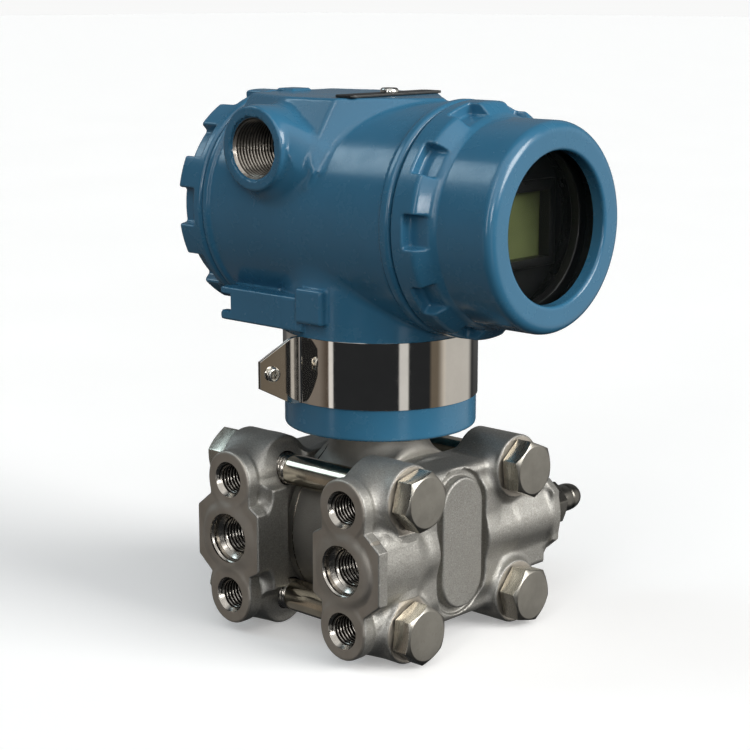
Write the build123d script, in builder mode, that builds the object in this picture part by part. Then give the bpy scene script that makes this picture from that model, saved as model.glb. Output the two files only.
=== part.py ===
# Differential pressure transmitter: two process flanges bolted round a
# capacitance cell, with a swivelling two-compartment electronics head.
#
# Frame: +Z up, +X towards the window cover and the high-side flange,
# -Y towards the process ports. All numbers below are measured from the
# point where the neck axis meets the height of the process ports; the
# helper planes shift them so that the part stands on z = 0, centred.
import os
from math import cos, sin, radians, pi

from build123d import *

os.makedirs("parts", exist_ok=True)

# ---------------------------------------------------------------- sizes, mm
# process side
PORT_X = 27.0          # half of the 54 mm between the process ports
PORT_FACE_Y = -47.4    # machined face that a manifold or adapter meets
VENT_FACE_Y = 52.5     # machined face of the vent side
PORT_R = 6.8           # 1/4-18 NPT, major radius
PORT_DEPTH = 17.0
ADAPTER_HALF = 20.65   # half of the 41.3 mm between adapter holes
ADAPTER_R = 5.56       # 7/16-20 UNF, major radius
ADAPTER_DEPTH = 12.6
BOLT_Y, BOLT_Z = 28.0, 22.7
BOLT_R = 5.5           # 7/16 in bolts
BOLT_HOLE_R = 5.9
BOLT_AF = 18.0
SEAT_X = 39.5          # spot face under the bolt heads
HEAD_T = 7.5
NUT_T = 9.5
BOLT_END_X = -52.6
BOSS_R = 11.3
WEB_X = 36.3           # outer face of the flange's plate
RIDGE_X, RIDGE_R = 30.0, 9.5
OVAL_X = 38.2
VENT_PAD = [(-12.5, 9.0), (-8.0, 13.0), (8.0, 13.0), (12.5, 9.0),
            (12.5, -9.0), (8.0, -13.0), (-8.0, -13.0), (-12.5, -9.0)]
CELL_X = 17.0          # half thickness of the cell disc
CELL_R = 30.2
DIA_R = 22.0           # isolating diaphragm
SPIGOT_R = 15.0
COLLAR_R = 16.7
COLLAR_TOP = 37.5
SPIGOT_TOP = 61.0
# vent valves
VENT_HEX_AF = 15.0
VENT_HEX_END = 64.0
VENT_STEM_R = 5.1
VENT_STEM_END = 78.0
# head
NECK_R = 33.3
NECK_BOTTOM = 37.9
BORE_R = 15.05         # running clearance on the spigot
AXIS_Z = 111.6         # height of the housing axis
BARREL_R = 37.8
RIM_R = 38.9
WALL_R = 32.5          # bore that the cover skirts screw into
FRONT_X = 38.4         # front rim of the housing
REAR_X = -48.1         # rear rim of the housing
BULK_X0, BULK_X1 = -9.0, -3.0   # wall between the two compartments
LUG_R = 38.8
SEAM = 0.6             # gap between a cover and the housing rim
THREAD_PITCH = 2.0
# front cover
RING_X1 = 50.0         # end of the castellated ring
COVER_R = 33.8
COVER_X = 76.0
WINDOW_R = 24.5
# rear cover
REAR_END = -60.7
LUGS = 10
LUG_FLOOR = 34.9       # radius at the bottom of the notches
# conduit entries
CON_X, CON_Z = -19.1, 133.8
CON_R = 14.15
CON_FACE = 42.0
CON_HOLE_R = 10.0      # M20 x 1.5
CON_THREAD = 14.0      # threaded length
CON_THROAT_R = 8.8     # way on into the terminal compartment
# top block
TOP_Z = 150.4
# display
DISPLAY_X = 47.4       # back of the display board
# nameplate band
BAND_Z0, BAND_Z1 = 48.8, 71.5
BAND_T = 0.5
EAR_DEG = -100.5       # direction of the band's two ears, from +X
EAR_TIP = 50.0

BASE_Z = BOLT_Z + BOSS_R                     # 34.0 above the surface
X_OFF = -(COVER_X + REAR_END) / 2
EAR_Y = EAR_TIP * sin(radians(EAR_DEG)) - 0.75 * abs(cos(radians(EAR_DEG)))
Y_OFF = -(VENT_STEM_END + EAR_Y) / 2
Z_OFF = BASE_Z


# ------------------------------------------------------------- helper planes
def yz(x):
    """Sketch plane square to +X: local x is +Y, local y is +Z."""
    return Plane(origin=(x + X_OFF, Y_OFF, Z_OFF), x_dir=(0, 1, 0), z_dir=(1, 0, 0))


def xz(y):
    """Sketch plane square to -Y: local x is +X, local y is +Z."""
    return Plane(origin=(X_OFF, y + Y_OFF, Z_OFF), x_dir=(1, 0, 0), z_dir=(0, -1, 0))


def xy(z):
    """Sketch plane square to +Z: local x is +X, local y is +Y."""
    return Plane(origin=(X_OFF, Y_OFF, z + Z_OFF), x_dir=(1, 0, 0), z_dir=(0, 0, 1))


def cyl_x(x0, x1, r, y=0.0, z=0.0, mode=Mode.ADD):
    with Locations(Location(((x0 + x1) / 2 + X_OFF, y + Y_OFF, z + Z_OFF), (0, 90, 0))):
        Cylinder(r, abs(x1 - x0), mode=mode)


def cyl_y(y0, y1, r, x=0.0, z=0.0, mode=Mode.ADD):
    with Locations(Location((x + X_OFF, (y0 + y1) / 2 + Y_OFF, z + Z_OFF), (-90, 0, 0))):
        Cylinder(r, abs(y1 - y0), mode=mode)


def cyl_z(z0, z1, r, x=0.0, y=0.0, mode=Mode.ADD):
    with Locations(Location((x + X_OFF, y + Y_OFF, (z0 + z1) / 2 + Z_OFF))):
        Cylinder(r, abs(z1 - z0), mode=mode)


def block(x0, x1, y0, y1, z0, z1, mode=Mode.ADD):
    with Locations(Location(((x0 + x1) / 2 + X_OFF, (y0 + y1) / 2 + Y_OFF, (z0 + z1) / 2 + Z_OFF))):
        Box(x1 - x0, y1 - y0, z1 - z0, mode=mode)


def cone_y(y0, y1, r0, r1, x=0.0, z=0.0, mode=Mode.SUBTRACT):
    """Chamfer round a hole along Y: r0 at y0, r1 at y1, y1 > y0."""
    with Locations(Location((x + X_OFF, (y0 + y1) / 2 + Y_OFF, z + Z_OFF), (-90, 0, 0))):
        Cone(r0, r1, y1 - y0, mode=mode)


def ring_x(x0, x1, r0, r1, y=0.0, z=0.0):
    cyl_x(x0, x1, r1, y, z)
    cyl_x(x0 - 1, x1 + 1, r0, y, z, mode=Mode.SUBTRACT)


def oring_x(x, R, r, z=0.0):
    with Locations(Location((x + X_OFF, Y_OFF, z + Z_OFF), (0, 90, 0))):
        Torus(R, r)


def prism_x(plane_x, af, length, y, z, turn=0.0):
    """Hexagon along +X from plane_x, width across flats af."""
    with BuildSketch(yz(plane_x)) as sk:
        with Locations((y, z)):
            RegularPolygon(af / 2, 6, major_radius=False, rotation=turn)
    extrude(sk.sketch, amount=length)


def pad_profile(side):
    """Port face: two round lobes joined by a wide middle with sloped shoulders."""
    with Locations((side * PORT_X, ADAPTER_HALF), (side * PORT_X, -ADAPTER_HALF)):
        Circle(9.8)
    with BuildLine() as outline:
        Polyline(
            (side * PORT_X - 16.3, 9.0), (side * PORT_X - 9.8, 12.6),
            (side * PORT_X - 9.8, ADAPTER_HALF), (side * PORT_X + 9.8, ADAPTER_HALF),
            (side * PORT_X + 9.8, 14.2), (side * PORT_X + 16.3, 9.0),
            (side * PORT_X + 16.3, -9.0), (side * PORT_X + 9.8, -14.2),
            (side * PORT_X + 9.8, -ADAPTER_HALF), (side * PORT_X - 9.8, -ADAPTER_HALF),
            (side * PORT_X - 9.8, -12.6), (side * PORT_X - 16.3, -9.0), close=True)
    make_face(outline.line)


def flange_body(s):
    """One process flange; s is +1 for the high side and -1 for the low side."""
    lo, hi = sorted((s * CELL_X, s * WEB_X))
    with BuildSketch(yz(lo)) as sk:                               # plate
        Rectangle(39.0, 54.0)
        with Locations((4.5, 0)):
            Rectangle(89.0, 36.0)
    extrude(sk.sketch, amount=hi - lo)
    cyl_x(*sorted((s * CELL_X, s * 22.0)), 27.9, 0, 0)            # rim round the cell seal
    cyl_y(PORT_FACE_Y, VENT_FACE_Y, RIDGE_R, s * RIDGE_X, 0.0)    # ridge over the passage
    lo, hi = sorted((s * (WEB_X - 1.5), s * 45.0))
    with BuildSketch(yz(lo)) as sk:                               # moat round the oval
        with Locations((0.2, 1.0)):
            SlotOverall(51.2, 25.6, rotation=90)
    extrude(sk.sketch, amount=hi - lo, mode=Mode.SUBTRACT)
    lo, hi = sorted((s * 30.0, s * OVAL_X))
    with BuildSketch(yz(lo)) as sk:                               # raised oval
        with Locations((0.2, 1.0)):
            SlotOverall(46.0, 20.4, rotation=90)
    extrude(sk.sketch, amount=hi - lo)
    lo, hi = sorted((s * 20.0, s * SEAT_X))
    for sy in (-1, 1):
        for sz in (-1, 1):
            cyl_x(lo, hi, BOSS_R, sy * BOLT_Y, sz * BOLT_Z)       # bolt bosses
            a, b = sorted((0.0, sy * BOLT_Y))
            c, d = sorted((0.0, sz * BOLT_Z))
            block(*sorted((s * 20.0, s * 34.0)), a, b, c, d)      # webs to them
    for sz in (-1, 1):
        cyl_y(PORT_FACE_Y, -24.0, 9.8, s * PORT_X, sz * ADAPTER_HALF)
    cyl_y(PORT_FACE_Y, -15.0, 11.0, s * PORT_X, 0.0)              # wall of the port
    with BuildSketch(xz(PORT_FACE_Y + 4.0)) as sk:
        pad_profile(s)
    extrude(sk.sketch, amount=4.0)
    block(*sorted((s * 13.0, s * 40.0)), PORT_FACE_Y + 3.9, -24.0, -11.0, 11.0)
    with BuildSketch(xz(VENT_FACE_Y)) as sk:                            # vent pad
        with BuildLine() as outline:
            Polyline(*[(s * PORT_X + a, b) for a, b in VENT_PAD], close=True)
        make_face(outline.line)
    extrude(sk.sketch, amount=4.0)
    cyl_y(30.0, VENT_FACE_Y, 11.0, s * PORT_X, 0.0)
    cyl_x(*sorted((0.0, s * CELL_X)), CELL_R + 0.4, 0, 0, Mode.SUBTRACT)
    # flow path
    cyl_y(PORT_FACE_Y - 1, PORT_FACE_Y + PORT_DEPTH, PORT_R, s * PORT_X, 0, Mode.SUBTRACT)
    cyl_y(PORT_FACE_Y - 1, PORT_FACE_Y + 2.0, 8.7, s * PORT_X, 0, Mode.SUBTRACT)
    cone_y(PORT_FACE_Y + 2.0, PORT_FACE_Y + 3.2, 8.0, PORT_R, s * PORT_X)
    cyl_y(VENT_FACE_Y - 16.0, VENT_FACE_Y + 1, PORT_R, s * PORT_X, 0, Mode.SUBTRACT)
    cyl_y(PORT_FACE_Y + PORT_DEPTH - 1, VENT_FACE_Y - 15.0, 3.2, s * PORT_X, 0, Mode.SUBTRACT)
    cyl_x(*sorted((s * CELL_X, s * PORT_X)), 3.2, 0, 0, Mode.SUBTRACT)
    cyl_x(*sorted((s * (CELL_X - 0.5), s * (CELL_X + 1.0))), 22.5, 0, 0, Mode.SUBTRACT)
    # seal groove
    lo, hi = sorted((s * CELL_X, s * (CELL_X + 2.2)))
    with BuildSketch(yz(lo)) as sk:
        Circle(26.6)
        Circle(23.6, mode=Mode.SUBTRACT)
    extrude(sk.sketch, amount=hi - lo, mode=Mode.SUBTRACT)
    # adapter holes and bolt holes
    for sz in (-1, 1):
        cyl_y(PORT_FACE_Y - 1, PORT_FACE_Y + ADAPTER_DEPTH, ADAPTER_R,
              s * PORT_X, sz * ADAPTER_HALF, Mode.SUBTRACT)
        for sy in (-1, 1):
            cyl_x(*sorted((s * 10.0, s * 45.0)), BOLT_HOLE_R, sy * BOLT_Y, sz * BOLT_Z, Mode.SUBTRACT)


# -------------------------------------------------------------- process side
with BuildPart() as sensor_cell:
    cyl_x(-CELL_X, CELL_X, CELL_R)
    cyl_z(0, COLLAR_TOP, COLLAR_R)
    cyl_z(COLLAR_TOP - 1, SPIGOT_TOP, SPIGOT_R)
    for s in (-1, 1):
        cyl_x(*sorted((s * 16.2, s * 18.0)), DIA_R, 0, 0, Mode.SUBTRACT)
        cyl_x(*sorted((s * 8.0, s * 16.5)), 1.5, 0, 0, Mode.SUBTRACT)
    cyl_x(-8.2, 8.2, 17.1, 0, 0, Mode.SUBTRACT)
    cyl_z(15.0, SPIGOT_TOP + 1, 9.0, 0, 0, Mode.SUBTRACT)
    with BuildSketch(xy(45.8)):
        Circle(SPIGOT_R + 1)
        Circle(13.0, mode=Mode.SUBTRACT)
    extrude(amount=2.4, mode=Mode.SUBTRACT)
    with BuildSketch(xy(58.2)):
        Circle(SPIGOT_R + 1)
        Circle(13.8, mode=Mode.SUBTRACT)
    extrude(amount=1.4, mode=Mode.SUBTRACT)
sensor_cell.part.label = "sensor_cell"

with BuildPart() as isolating_diaphragms:
    for s in (-1, 1):
        cyl_x(*sorted((s * 16.25, s * 16.65)), 21.9)
isolating_diaphragms.part.label = "isolating_diaphragms"

with BuildPart() as capacitor_capsule:
    cyl_x(-8.1, 8.1, 17.0)
    cyl_z(16.0, 20.0, 4.0)
    for s in (-1, 1):
        cyl_x(*sorted((s * 0.4, s * 8.5)), 1.2, 0, 0, Mode.SUBTRACT)
capacitor_capsule.part.label = "capacitor_capsule"

with BuildPart() as cell_header:
    cyl_z(56.0, 58.0, 8.9)
    for k in range(6):
        a = radians(60 * k)
        cyl_z(52.0, 64.0, 0.6, 5.5 * cos(a), 5.5 * sin(a))
cell_header.part.label = "cell_header"

with BuildPart() as process_seals:
    for s in (-1, 1):
        oring_x(s * (CELL_X + 1.1), 25.1, 1.08)
process_seals.part.label = "process_seals"

with BuildPart() as high_flange:
    flange_body(1)
high_flange.part.label = "high_flange"

with BuildPart() as low_flange:
    flange_body(-1)
low_flange.part.label = "low_flange"

with BuildPart() as flange_bolts:
    for sy in (-1, 1):
        for sz in (-1, 1):
            y, z = sy * BOLT_Y, sz * BOLT_Z
            cyl_x(BOLT_END_X, SEAT_X + 1, BOLT_R, y, z)
            prism_x(SEAT_X + 0.02, BOLT_AF, HEAD_T, y, z, turn=12 * sy - 5 * sz)
flange_bolts.part.label = "flange_bolts"

with BuildPart() as flange_nuts:
    for sy in (-1, 1):
        for sz in (-1, 1):
            y, z = sy * BOLT_Y, sz * BOLT_Z
            prism_x(-SEAT_X - NUT_T, BOLT_AF, NUT_T - 0.02, y, z, turn=18 * sz + 7 * sy)
            cyl_x(-SEAT_X - NUT_T - 1, -SEAT_X + 1, BOLT_R + 0.02, y, z, Mode.SUBTRACT)
flange_nuts.part.label = "flange_nuts"


def vent_seat(s):
    x = s * PORT_X
    cyl_y(VENT_FACE_Y - 13.0, VENT_FACE_Y + 1, PORT_R - 0.05, x, 0)
    with BuildSketch(xz(VENT_HEX_END)) as sk:
        with Locations((x, 0)):
            RegularPolygon(VENT_HEX_AF / 2, 6, major_radius=False, rotation=15)
    extrude(sk.sketch, amount=VENT_HEX_END - VENT_FACE_Y - 0.05)
    cyl_y(VENT_FACE_Y - 12.0, VENT_HEX_END + 1, 3.55, x, 0, Mode.SUBTRACT)
    cyl_y(VENT_FACE_Y - 14.0, VENT_FACE_Y - 11.0, 1.6, x, 0, Mode.SUBTRACT)


with BuildPart() as vent_seat_high:
    vent_seat(1)
vent_seat_high.part.label = "vent_seat_high"

with BuildPart() as vent_seat_low:
    vent_seat(-1)
vent_seat_low.part.label = "vent_seat_low"


def vent_stem(s):
    x = s * PORT_X
    cyl_y(VENT_HEX_END + 0.6, VENT_STEM_END - 3.0, VENT_STEM_R, x, 0)
    cone_y(VENT_STEM_END - 3.0, VENT_STEM_END, VENT_STEM_R, 2.6, x, 0, Mode.ADD)
    cyl_y(VENT_FACE_Y - 9.0, VENT_HEX_END + 1, 3.5, x, 0)
    cone_y(VENT_FACE_Y - 11.6, VENT_FACE_Y - 9.0, 1.2, 3.2, x, 0, Mode.ADD)
    # groove for the stem ring
    with BuildSketch(xz(VENT_FACE_Y + 2.0)) as sk:
        with Locations((x, 0)):
            Circle(4.0)
            Circle(2.4, mode=Mode.SUBTRACT)
    extrude(sk.sketch, amount=2.0, mode=Mode.SUBTRACT)
    # relief drilling out of the side
    cyl_y(VENT_STEM_END - 9.0, VENT_STEM_END + 1, 1.5, x, 0, Mode.SUBTRACT)


def vent_ring(s):
    with Locations(Location((s * PORT_X + X_OFF, VENT_FACE_Y + 1.0 + Y_OFF, Z_OFF), (-90, 0, 0))):
        Torus(2.98, 0.5)


with BuildPart() as vent_stem_high:
    vent_stem(1)
vent_stem_high.part.label = "vent_stem_high"

with BuildPart() as vent_stem_low:
    vent_stem(-1)
vent_stem_low.part.label = "vent_stem_low"

with BuildPart() as vent_ring_high:
    vent_ring(1)
vent_ring_high.part.label = "vent_ring_high"

with BuildPart() as vent_ring_low:
    vent_ring(-1)
vent_ring_low.part.label = "vent_ring_low"

with BuildPart() as neck_seal:
    with Locations(Location((X_OFF, Y_OFF, 47.0 + Z_OFF))):
        Torus(14.0, 0.98)
neck_seal.part.label = "neck_seal"

with BuildPart() as neck_retainer:
    with BuildSketch(xy(58.3)):
        Circle(17.2)
        Circle(13.9, mode=Mode.SUBTRACT)
        with Locations((16.0, 0)):
            Rectangle(6.0, 3.0, mode=Mode.SUBTRACT)
    extrude(amount=1.2)
neck_retainer.part.label = "neck_retainer"

# --------------------------------------------------------------------- head
TOP_PLAN = [(26.2, -3.0), (5.7, -28.5), (-17.5, -28.5), (-42.5, -20.0),
            (-42.5, 20.0), (-17.5, 28.5), (5.7, 28.5), (26.2, 3.0)]
LOW_PLAN = [(28.8, -3.0), (1.0, -37.5), (-19.5, -37.5), (-46.0, -28.0),
            (-46.0, 28.0), (-19.5, 37.5), (1.0, 37.5), (28.8, 3.0)]
POD = [(-31.5, 127.0), (-19.1, 119.65), (-7.0, 119.5), (0.0, 122.0), (3.5, 129.0),
       (1.8, 138.0), (-35.0, 138.0)]

with BuildPart() as electronics_housing:
    cyl_x(REAR_X, FRONT_X, BARREL_R, 0, AXIS_Z)
    cyl_x(REAR_X, REAR_X + 3.0, RIM_R, 0, AXIS_Z)
    cyl_x(FRONT_X - 3.0, FRONT_X, RIM_R, 0, AXIS_Z)
    cyl_z(NECK_BOTTOM, AXIS_Z - 8, NECK_R)
    # top block, wide at the conduit entries
    with BuildSketch(xy(TOP_Z)):
        with BuildLine():
            Polyline(*TOP_PLAN, close=True)
        make_face()
    with BuildSketch(xy(138.0)):
        with BuildLine():
            Polyline(*LOW_PLAN, close=True)
        make_face()
    loft(ruled=True)
    for s in (-1, 1):
        with BuildSketch(xz(0)):
            with BuildLine():
                Polyline(*POD, close=True)
            make_face()
        extrude(amount=-s * 36.5)
        cyl_y(*sorted((0, s * CON_FACE)), CON_R, CON_X, CON_Z)
    # side web with a notch and hook at its rear end, and a raised pad
    block(-44.0, -4.0, -34.5, -31.0, 73.0, 84.5)
    block(-44.0, -4.0, -31.5, -20.0, 80.5, 84.5)
    block(-14.0, -4.0, -34.5, -20.0, 73.0, 84.5)
    block(-45.0, -39.0, -36.0, -30.0, 76.2, 82.0, Mode.SUBTRACT)
    block(-6.0, 6.4, -36.0, -26.0, 76.4, 88.2)
    # low raised pad on top at the rear, round bosses inside for the adjusters
    block(-46.0, -37.5, -4.5, 4.5, 146.0, 151.3)
    # terminal and electronics compartments, with a wall between
    cyl_x(REAR_X - 1, BULK_X0, WALL_R, 0, AXIS_Z, Mode.SUBTRACT)
    cyl_x(BULK_X1, FRONT_X + 1, WALL_R, 0, AXIS_Z, Mode.SUBTRACT)
    cyl_z(139.0, 147.5, 5.0, 4.0, -18.0)
    cyl_z(139.0, 147.5, 5.0, 4.0, 18.0)
    # neck: running bore on the spigot, room above it, wire way up
    cyl_z(NECK_BOTTOM - 1, 60.0, BORE_R, 0, 0, Mode.SUBTRACT)
    cyl_z(58.0, 74.0, 26.0, 0, 0, Mode.SUBTRACT)
    cyl_z(73.0, 84.0, 9.0, 6.0, 0, Mode.SUBTRACT)
    # conduit entries, wire way through the wall, adjuster and plate holes
    for s in (-1, 1):
        cyl_y(*sorted((s * (CON_FACE - CON_THREAD), s * (CON_FACE + 1))), CON_HOLE_R,
              CON_X, CON_Z, Mode.SUBTRACT)
        cyl_y(*sorted((s * 20.0, s * (CON_FACE - 10))), CON_THROAT_R, CON_X, CON_Z, Mode.SUBTRACT)
    cyl_x(BULK_X0 - 1, BULK_X1 + 1, 5.0, -18.0, AXIS_Z + 6.0, Mode.SUBTRACT)
    for y in (-18.0, 18.0):
        cyl_z(133.0, TOP_Z + 1, 2.05, 4.0, y, Mode.SUBTRACT)
        cyl_z(148.6, TOP_Z + 1, 3.3, 4.0, y, Mode.SUBTRACT)
    cyl_z(146.3, TOP_Z + 1, 1.5, 4.0, 0, Mode.SUBTRACT)
electronics_housing.part.label = "electronics_housing"

with BuildPart() as nameplate_band:
    with BuildSketch(xy(BAND_Z0)):
        Circle(NECK_R + BAND_T + 0.02)
        Circle(NECK_R + 0.02, mode=Mode.SUBTRACT)
        with PolarLocations(NECK_R, 1, start_angle=EAR_DEG):
            Rectangle(4.0, 0.5, mode=Mode.SUBTRACT)
    extrude(amount=BAND_Z1 - BAND_Z0)
    # two ears, bent outwards, tapering to the screw
    a = radians(EAR_DEG)
    for side in (-1, 1):
        ox, oy = -sin(a) * side * 0.25, cos(a) * side * 0.25
        ear = Plane(origin=(X_OFF + ox, Y_OFF + oy, Z_OFF),
                    x_dir=(cos(a), sin(a), 0), z_dir=(-sin(a) * side, cos(a) * side, 0))
        up = ear.y_dir.Z
        with BuildSketch(ear):
            with BuildLine():
                Polyline((NECK_R + 0.1, up * BAND_Z0), (NECK_R + 0.1, up * BAND_Z1),
                         (NECK_R + 4.0, up * BAND_Z1), (EAR_TIP, up * 64.6),
                         (EAR_TIP, up * 55.4), (NECK_R + 4.0, up * BAND_Z0), close=True)
            make_face()
            with Locations((EAR_TIP - 4.6, up * 60.0)):
                Circle(1.6, mode=Mode.SUBTRACT)
        extrude(amount=BAND_T)
nameplate_band.part.label = "nameplate_band"


def ear_plane(off):
    """Plane square to the ears, off mm along the tangent from their middle."""
    a = radians(EAR_DEG)
    return Plane(origin=(X_OFF - sin(a) * off + cos(a) * (EAR_TIP - 4.6),
                         Y_OFF + cos(a) * off + sin(a) * (EAR_TIP - 4.6), Z_OFF + 60.0),
                 x_dir=(cos(a), sin(a), 0), z_dir=(-sin(a), cos(a), 0))


with BuildPart() as band_screw:
    with BuildSketch(ear_plane(0.77)):
        Circle(2.6)
    extrude(amount=1.8)
    with BuildSketch(ear_plane(0.77)):
        Circle(1.5)
    extrude(amount=-5.0)
    with BuildSketch(ear_plane(2.6)):
        Rectangle(0.6, 2.6)
        Rectangle(2.6, 0.6)
    extrude(amount=-0.9, mode=Mode.SUBTRACT)
band_screw.part.label = "band_screw"

with BuildPart() as band_nut:
    with BuildSketch(ear_plane(-0.77)):
        RegularPolygon(2.75, 6, major_radius=False)
        Circle(1.52, mode=Mode.SUBTRACT)
    extrude(amount=-2.4)
band_nut.part.label = "band_nut"

# -------------------------------------------------------- adjusters and plate
with BuildPart() as access_plate:
    with BuildSketch(xy(TOP_Z + 0.05)):
        with Locations((4.0, 0)):
            RectangleRounded(9.0, 45.0, 2.0)
            Circle(2.05, mode=Mode.SUBTRACT)
    extrude(amount=0.9)
access_plate.part.label = "access_plate"

with BuildPart() as plate_screw:
    cyl_z(TOP_Z + 1.0, TOP_Z + 2.6, 3.2, 4.0, 0)
    cyl_z(TOP_Z + 0.02, TOP_Z + 1.1, 2.0, 4.0, 0)
    cyl_z(146.4, TOP_Z + 0.5, 1.48, 4.0, 0)
    with BuildSketch(xy(TOP_Z + 1.8)):
        with Locations((4.0, 0)):
            Rectangle(3.4, 0.7)
            Rectangle(0.7, 3.4)
    extrude(amount=1.0, mode=Mode.SUBTRACT)
plate_screw.part.label = "plate_screw"


def adjuster(y):
    cyl_z(148.7, TOP_Z - 0.25, 3.2, 4.0, y)
    cyl_z(134.0, 149.0, 2.0, 4.0, y)
    with BuildSketch(xy(149.4)) as sk:
        with Locations((4.0, y)):
            Rectangle(6.6, 0.8)
    extrude(sk.sketch, amount=1.0, mode=Mode.SUBTRACT)


with BuildPart() as zero_screw:
    adjuster(-18.0)
zero_screw.part.label = "zero_screw"

with BuildPart() as span_screw:
    adjuster(18.0)
span_screw.part.label = "span_screw"

# ------------------------------------------------- electronics and terminals
with BuildPart() as amplifier_board:
    cyl_x(8.0, 9.6, 30.5, 0, AXIS_Z)
    block(9.6, 13.0, -12, -2, AXIS_Z - 12, AXIS_Z + 2)
    block(9.6, 12.0, 4, 16, AXIS_Z - 6, AXIS_Z + 6)
    block(9.6, 15.0, -10, -4, AXIS_Z + 8, AXIS_Z + 16)
    for y in (-18.0, 18.0):
        block(9.6, 14.0, y - 3.5, y + 3.5, AXIS_Z + 14.0, AXIS_Z + 20.0)
amplifier_board.part.label = "amplifier_board"

with BuildPart() as board_standoffs:
    for k in range(3):
        a = radians(90 + 120 * k)
        cyl_x(BULK_X1, 8.0, 2.5, 26.5 * cos(a), AXIS_Z + 26.5 * sin(a))
        cyl_x(9.6, DISPLAY_X, 2.3, 26.3 * cos(a), AXIS_Z + 26.3 * sin(a))
board_standoffs.part.label = "board_standoffs"

with BuildPart() as display_board:
    cyl_x(DISPLAY_X, DISPLAY_X + 1.6, 28.8, 0, AXIS_Z)
    block(DISPLAY_X - 2.0, DISPLAY_X, -8, 8, AXIS_Z - 20, AXIS_Z - 12)
display_board.part.label = "display_board"

with BuildPart() as lcd_panel:
    block(DISPLAY_X + 1.6, DISPLAY_X + 5.6, -21.5, 21.5, AXIS_Z - 13.4, AXIS_Z + 11.0)
lcd_panel.part.label = "lcd_panel"

with BuildPart() as display_bezel:
    cyl_x(DISPLAY_X + 1.6, DISPLAY_X + 8.5, 28.6, 0, AXIS_Z)
    cyl_x(DISPLAY_X + 1.0, DISPLAY_X + 6.4, 26.6, 0, AXIS_Z, Mode.SUBTRACT)
    block(DISPLAY_X + 5.7, DISPLAY_X + 10.0, -23.0, 23.0, AXIS_Z - 15.4, AXIS_Z + 13.4)
    block(DISPLAY_X + 1.0, DISPLAY_X + 12.0, -19.5, 19.5, AXIS_Z - 12.4, AXIS_Z + 9.6, Mode.SUBTRACT)
display_bezel.part.label = "display_bezel"

with BuildPart() as terminal_block:
    cyl_x(BULK_X0 - 9.0, BULK_X0, 22.0, 0, AXIS_Z - 2.0)
    block(BULK_X0 - 18.0, BULK_X0 - 9.0, -17.0, 17.0, AXIS_Z - 9.0, AXIS_Z + 5.0)
    for y in (-12.0, -4.0, 4.0, 12.0):
        cyl_x(BULK_X0 - 19.0, BULK_X0 - 8.0, 1.75, y, AXIS_Z - 2.0, Mode.SUBTRACT)
    for y in (-8.0, 0.0, 8.0):
        block(BULK_X0 - 19.0, BULK_X0 - 14.0, y - 0.7, y + 0.7,
              AXIS_Z - 10.0, AXIS_Z + 6.0, Mode.SUBTRACT)
terminal_block.part.label = "terminal_block"

with BuildPart() as terminal_screws:
    for y in (-12.0, -4.0, 4.0, 12.0):
        cyl_x(BULK_X0 - 18.2, BULK_X0 - 9.0, 1.7, y, AXIS_Z - 2.0)
        cyl_x(BULK_X0 - 20.6, BULK_X0 - 18.05, 2.9, y, AXIS_Z - 2.0)
        block(BULK_X0 - 21.0, BULK_X0 - 19.8, y - 3.2, y + 3.2,
              AXIS_Z - 2.35, AXIS_Z - 1.65, Mode.SUBTRACT)
terminal_screws.part.label = "terminal_screws"

with BuildPart() as ground_screw:
    cyl_x(BULK_X0 - 5.0, BULK_X0 - 0.02, 3.6, 0.0, AXIS_Z + 26.8)
    block(BULK_X0 - 6.0, BULK_X0 - 4.0, -4.0, 4.0, AXIS_Z + 26.4, AXIS_Z + 27.2, Mode.SUBTRACT)
ground_screw.part.label = "ground_screw"


# ------------------------------------------------------------------- covers
def lug_notches(x0, x1, r_floor, first_deg):
    """Cut the notches of a castellated ring between x0 and x1."""
    for k in range(LUGS):
        a0 = radians(first_deg + k * 360 / LUGS - 9.6)
        a1 = radians(first_deg + k * 360 / LUGS + 9.6)
        with BuildSketch(yz(x0)) as sk:
            with BuildLine() as wedge:
                Polyline((0, AXIS_Z), (45 * cos(a0), AXIS_Z + 45 * sin(a0)),
                         (45 * cos(a1), AXIS_Z + 45 * sin(a1)), close=True)
            make_face(wedge.line)
            with Locations((0, AXIS_Z)):
                Circle(r_floor, mode=Mode.SUBTRACT)
        extrude(sk.sketch, amount=x1 - x0, mode=Mode.SUBTRACT)


with BuildPart() as front_cover:
    cyl_x(FRONT_X + SEAM, RING_X1, LUG_R, 0, AXIS_Z)
    cyl_x(RING_X1 - 1, COVER_X, COVER_R, 0, AXIS_Z)
    fillet(front_cover.edges().filter_by(GeomType.CIRCLE).sort_by(Axis.X)[-1], 3.6)
    cyl_x(28.4, FRONT_X + SEAM + 1, WALL_R - 0.08, 0, AXIS_Z)
    with BuildSketch(yz(FRONT_X + SEAM - 3.2)):                   # seal groove
        with Locations((0, AXIS_Z)):
            Circle(WALL_R + 1)
            Circle(30.6, mode=Mode.SUBTRACT)
    extrude(amount=2.2, mode=Mode.SUBTRACT)
    cyl_x(27.0, 71.4, 29.4, 0, AXIS_Z, Mode.SUBTRACT)             # inside
    cyl_x(70.0, COVER_X + 1, WINDOW_R, 0, AXIS_Z, Mode.SUBTRACT)  # window
    lug_notches(FRONT_X + 4.0, RING_X1 + 0.5, LUG_FLOOR, 180.0)
front_cover.part.label = "front_cover"

with BuildPart() as window_gasket:
    ring_x(70.9, 71.38, 25.2, 29.3, 0, AXIS_Z)
window_gasket.part.label = "window_gasket"

with BuildPart() as window_glass:
    cyl_x(65.0, 70.88, 29.3, 0, AXIS_Z)
window_glass.part.label = "window_glass"

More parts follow.
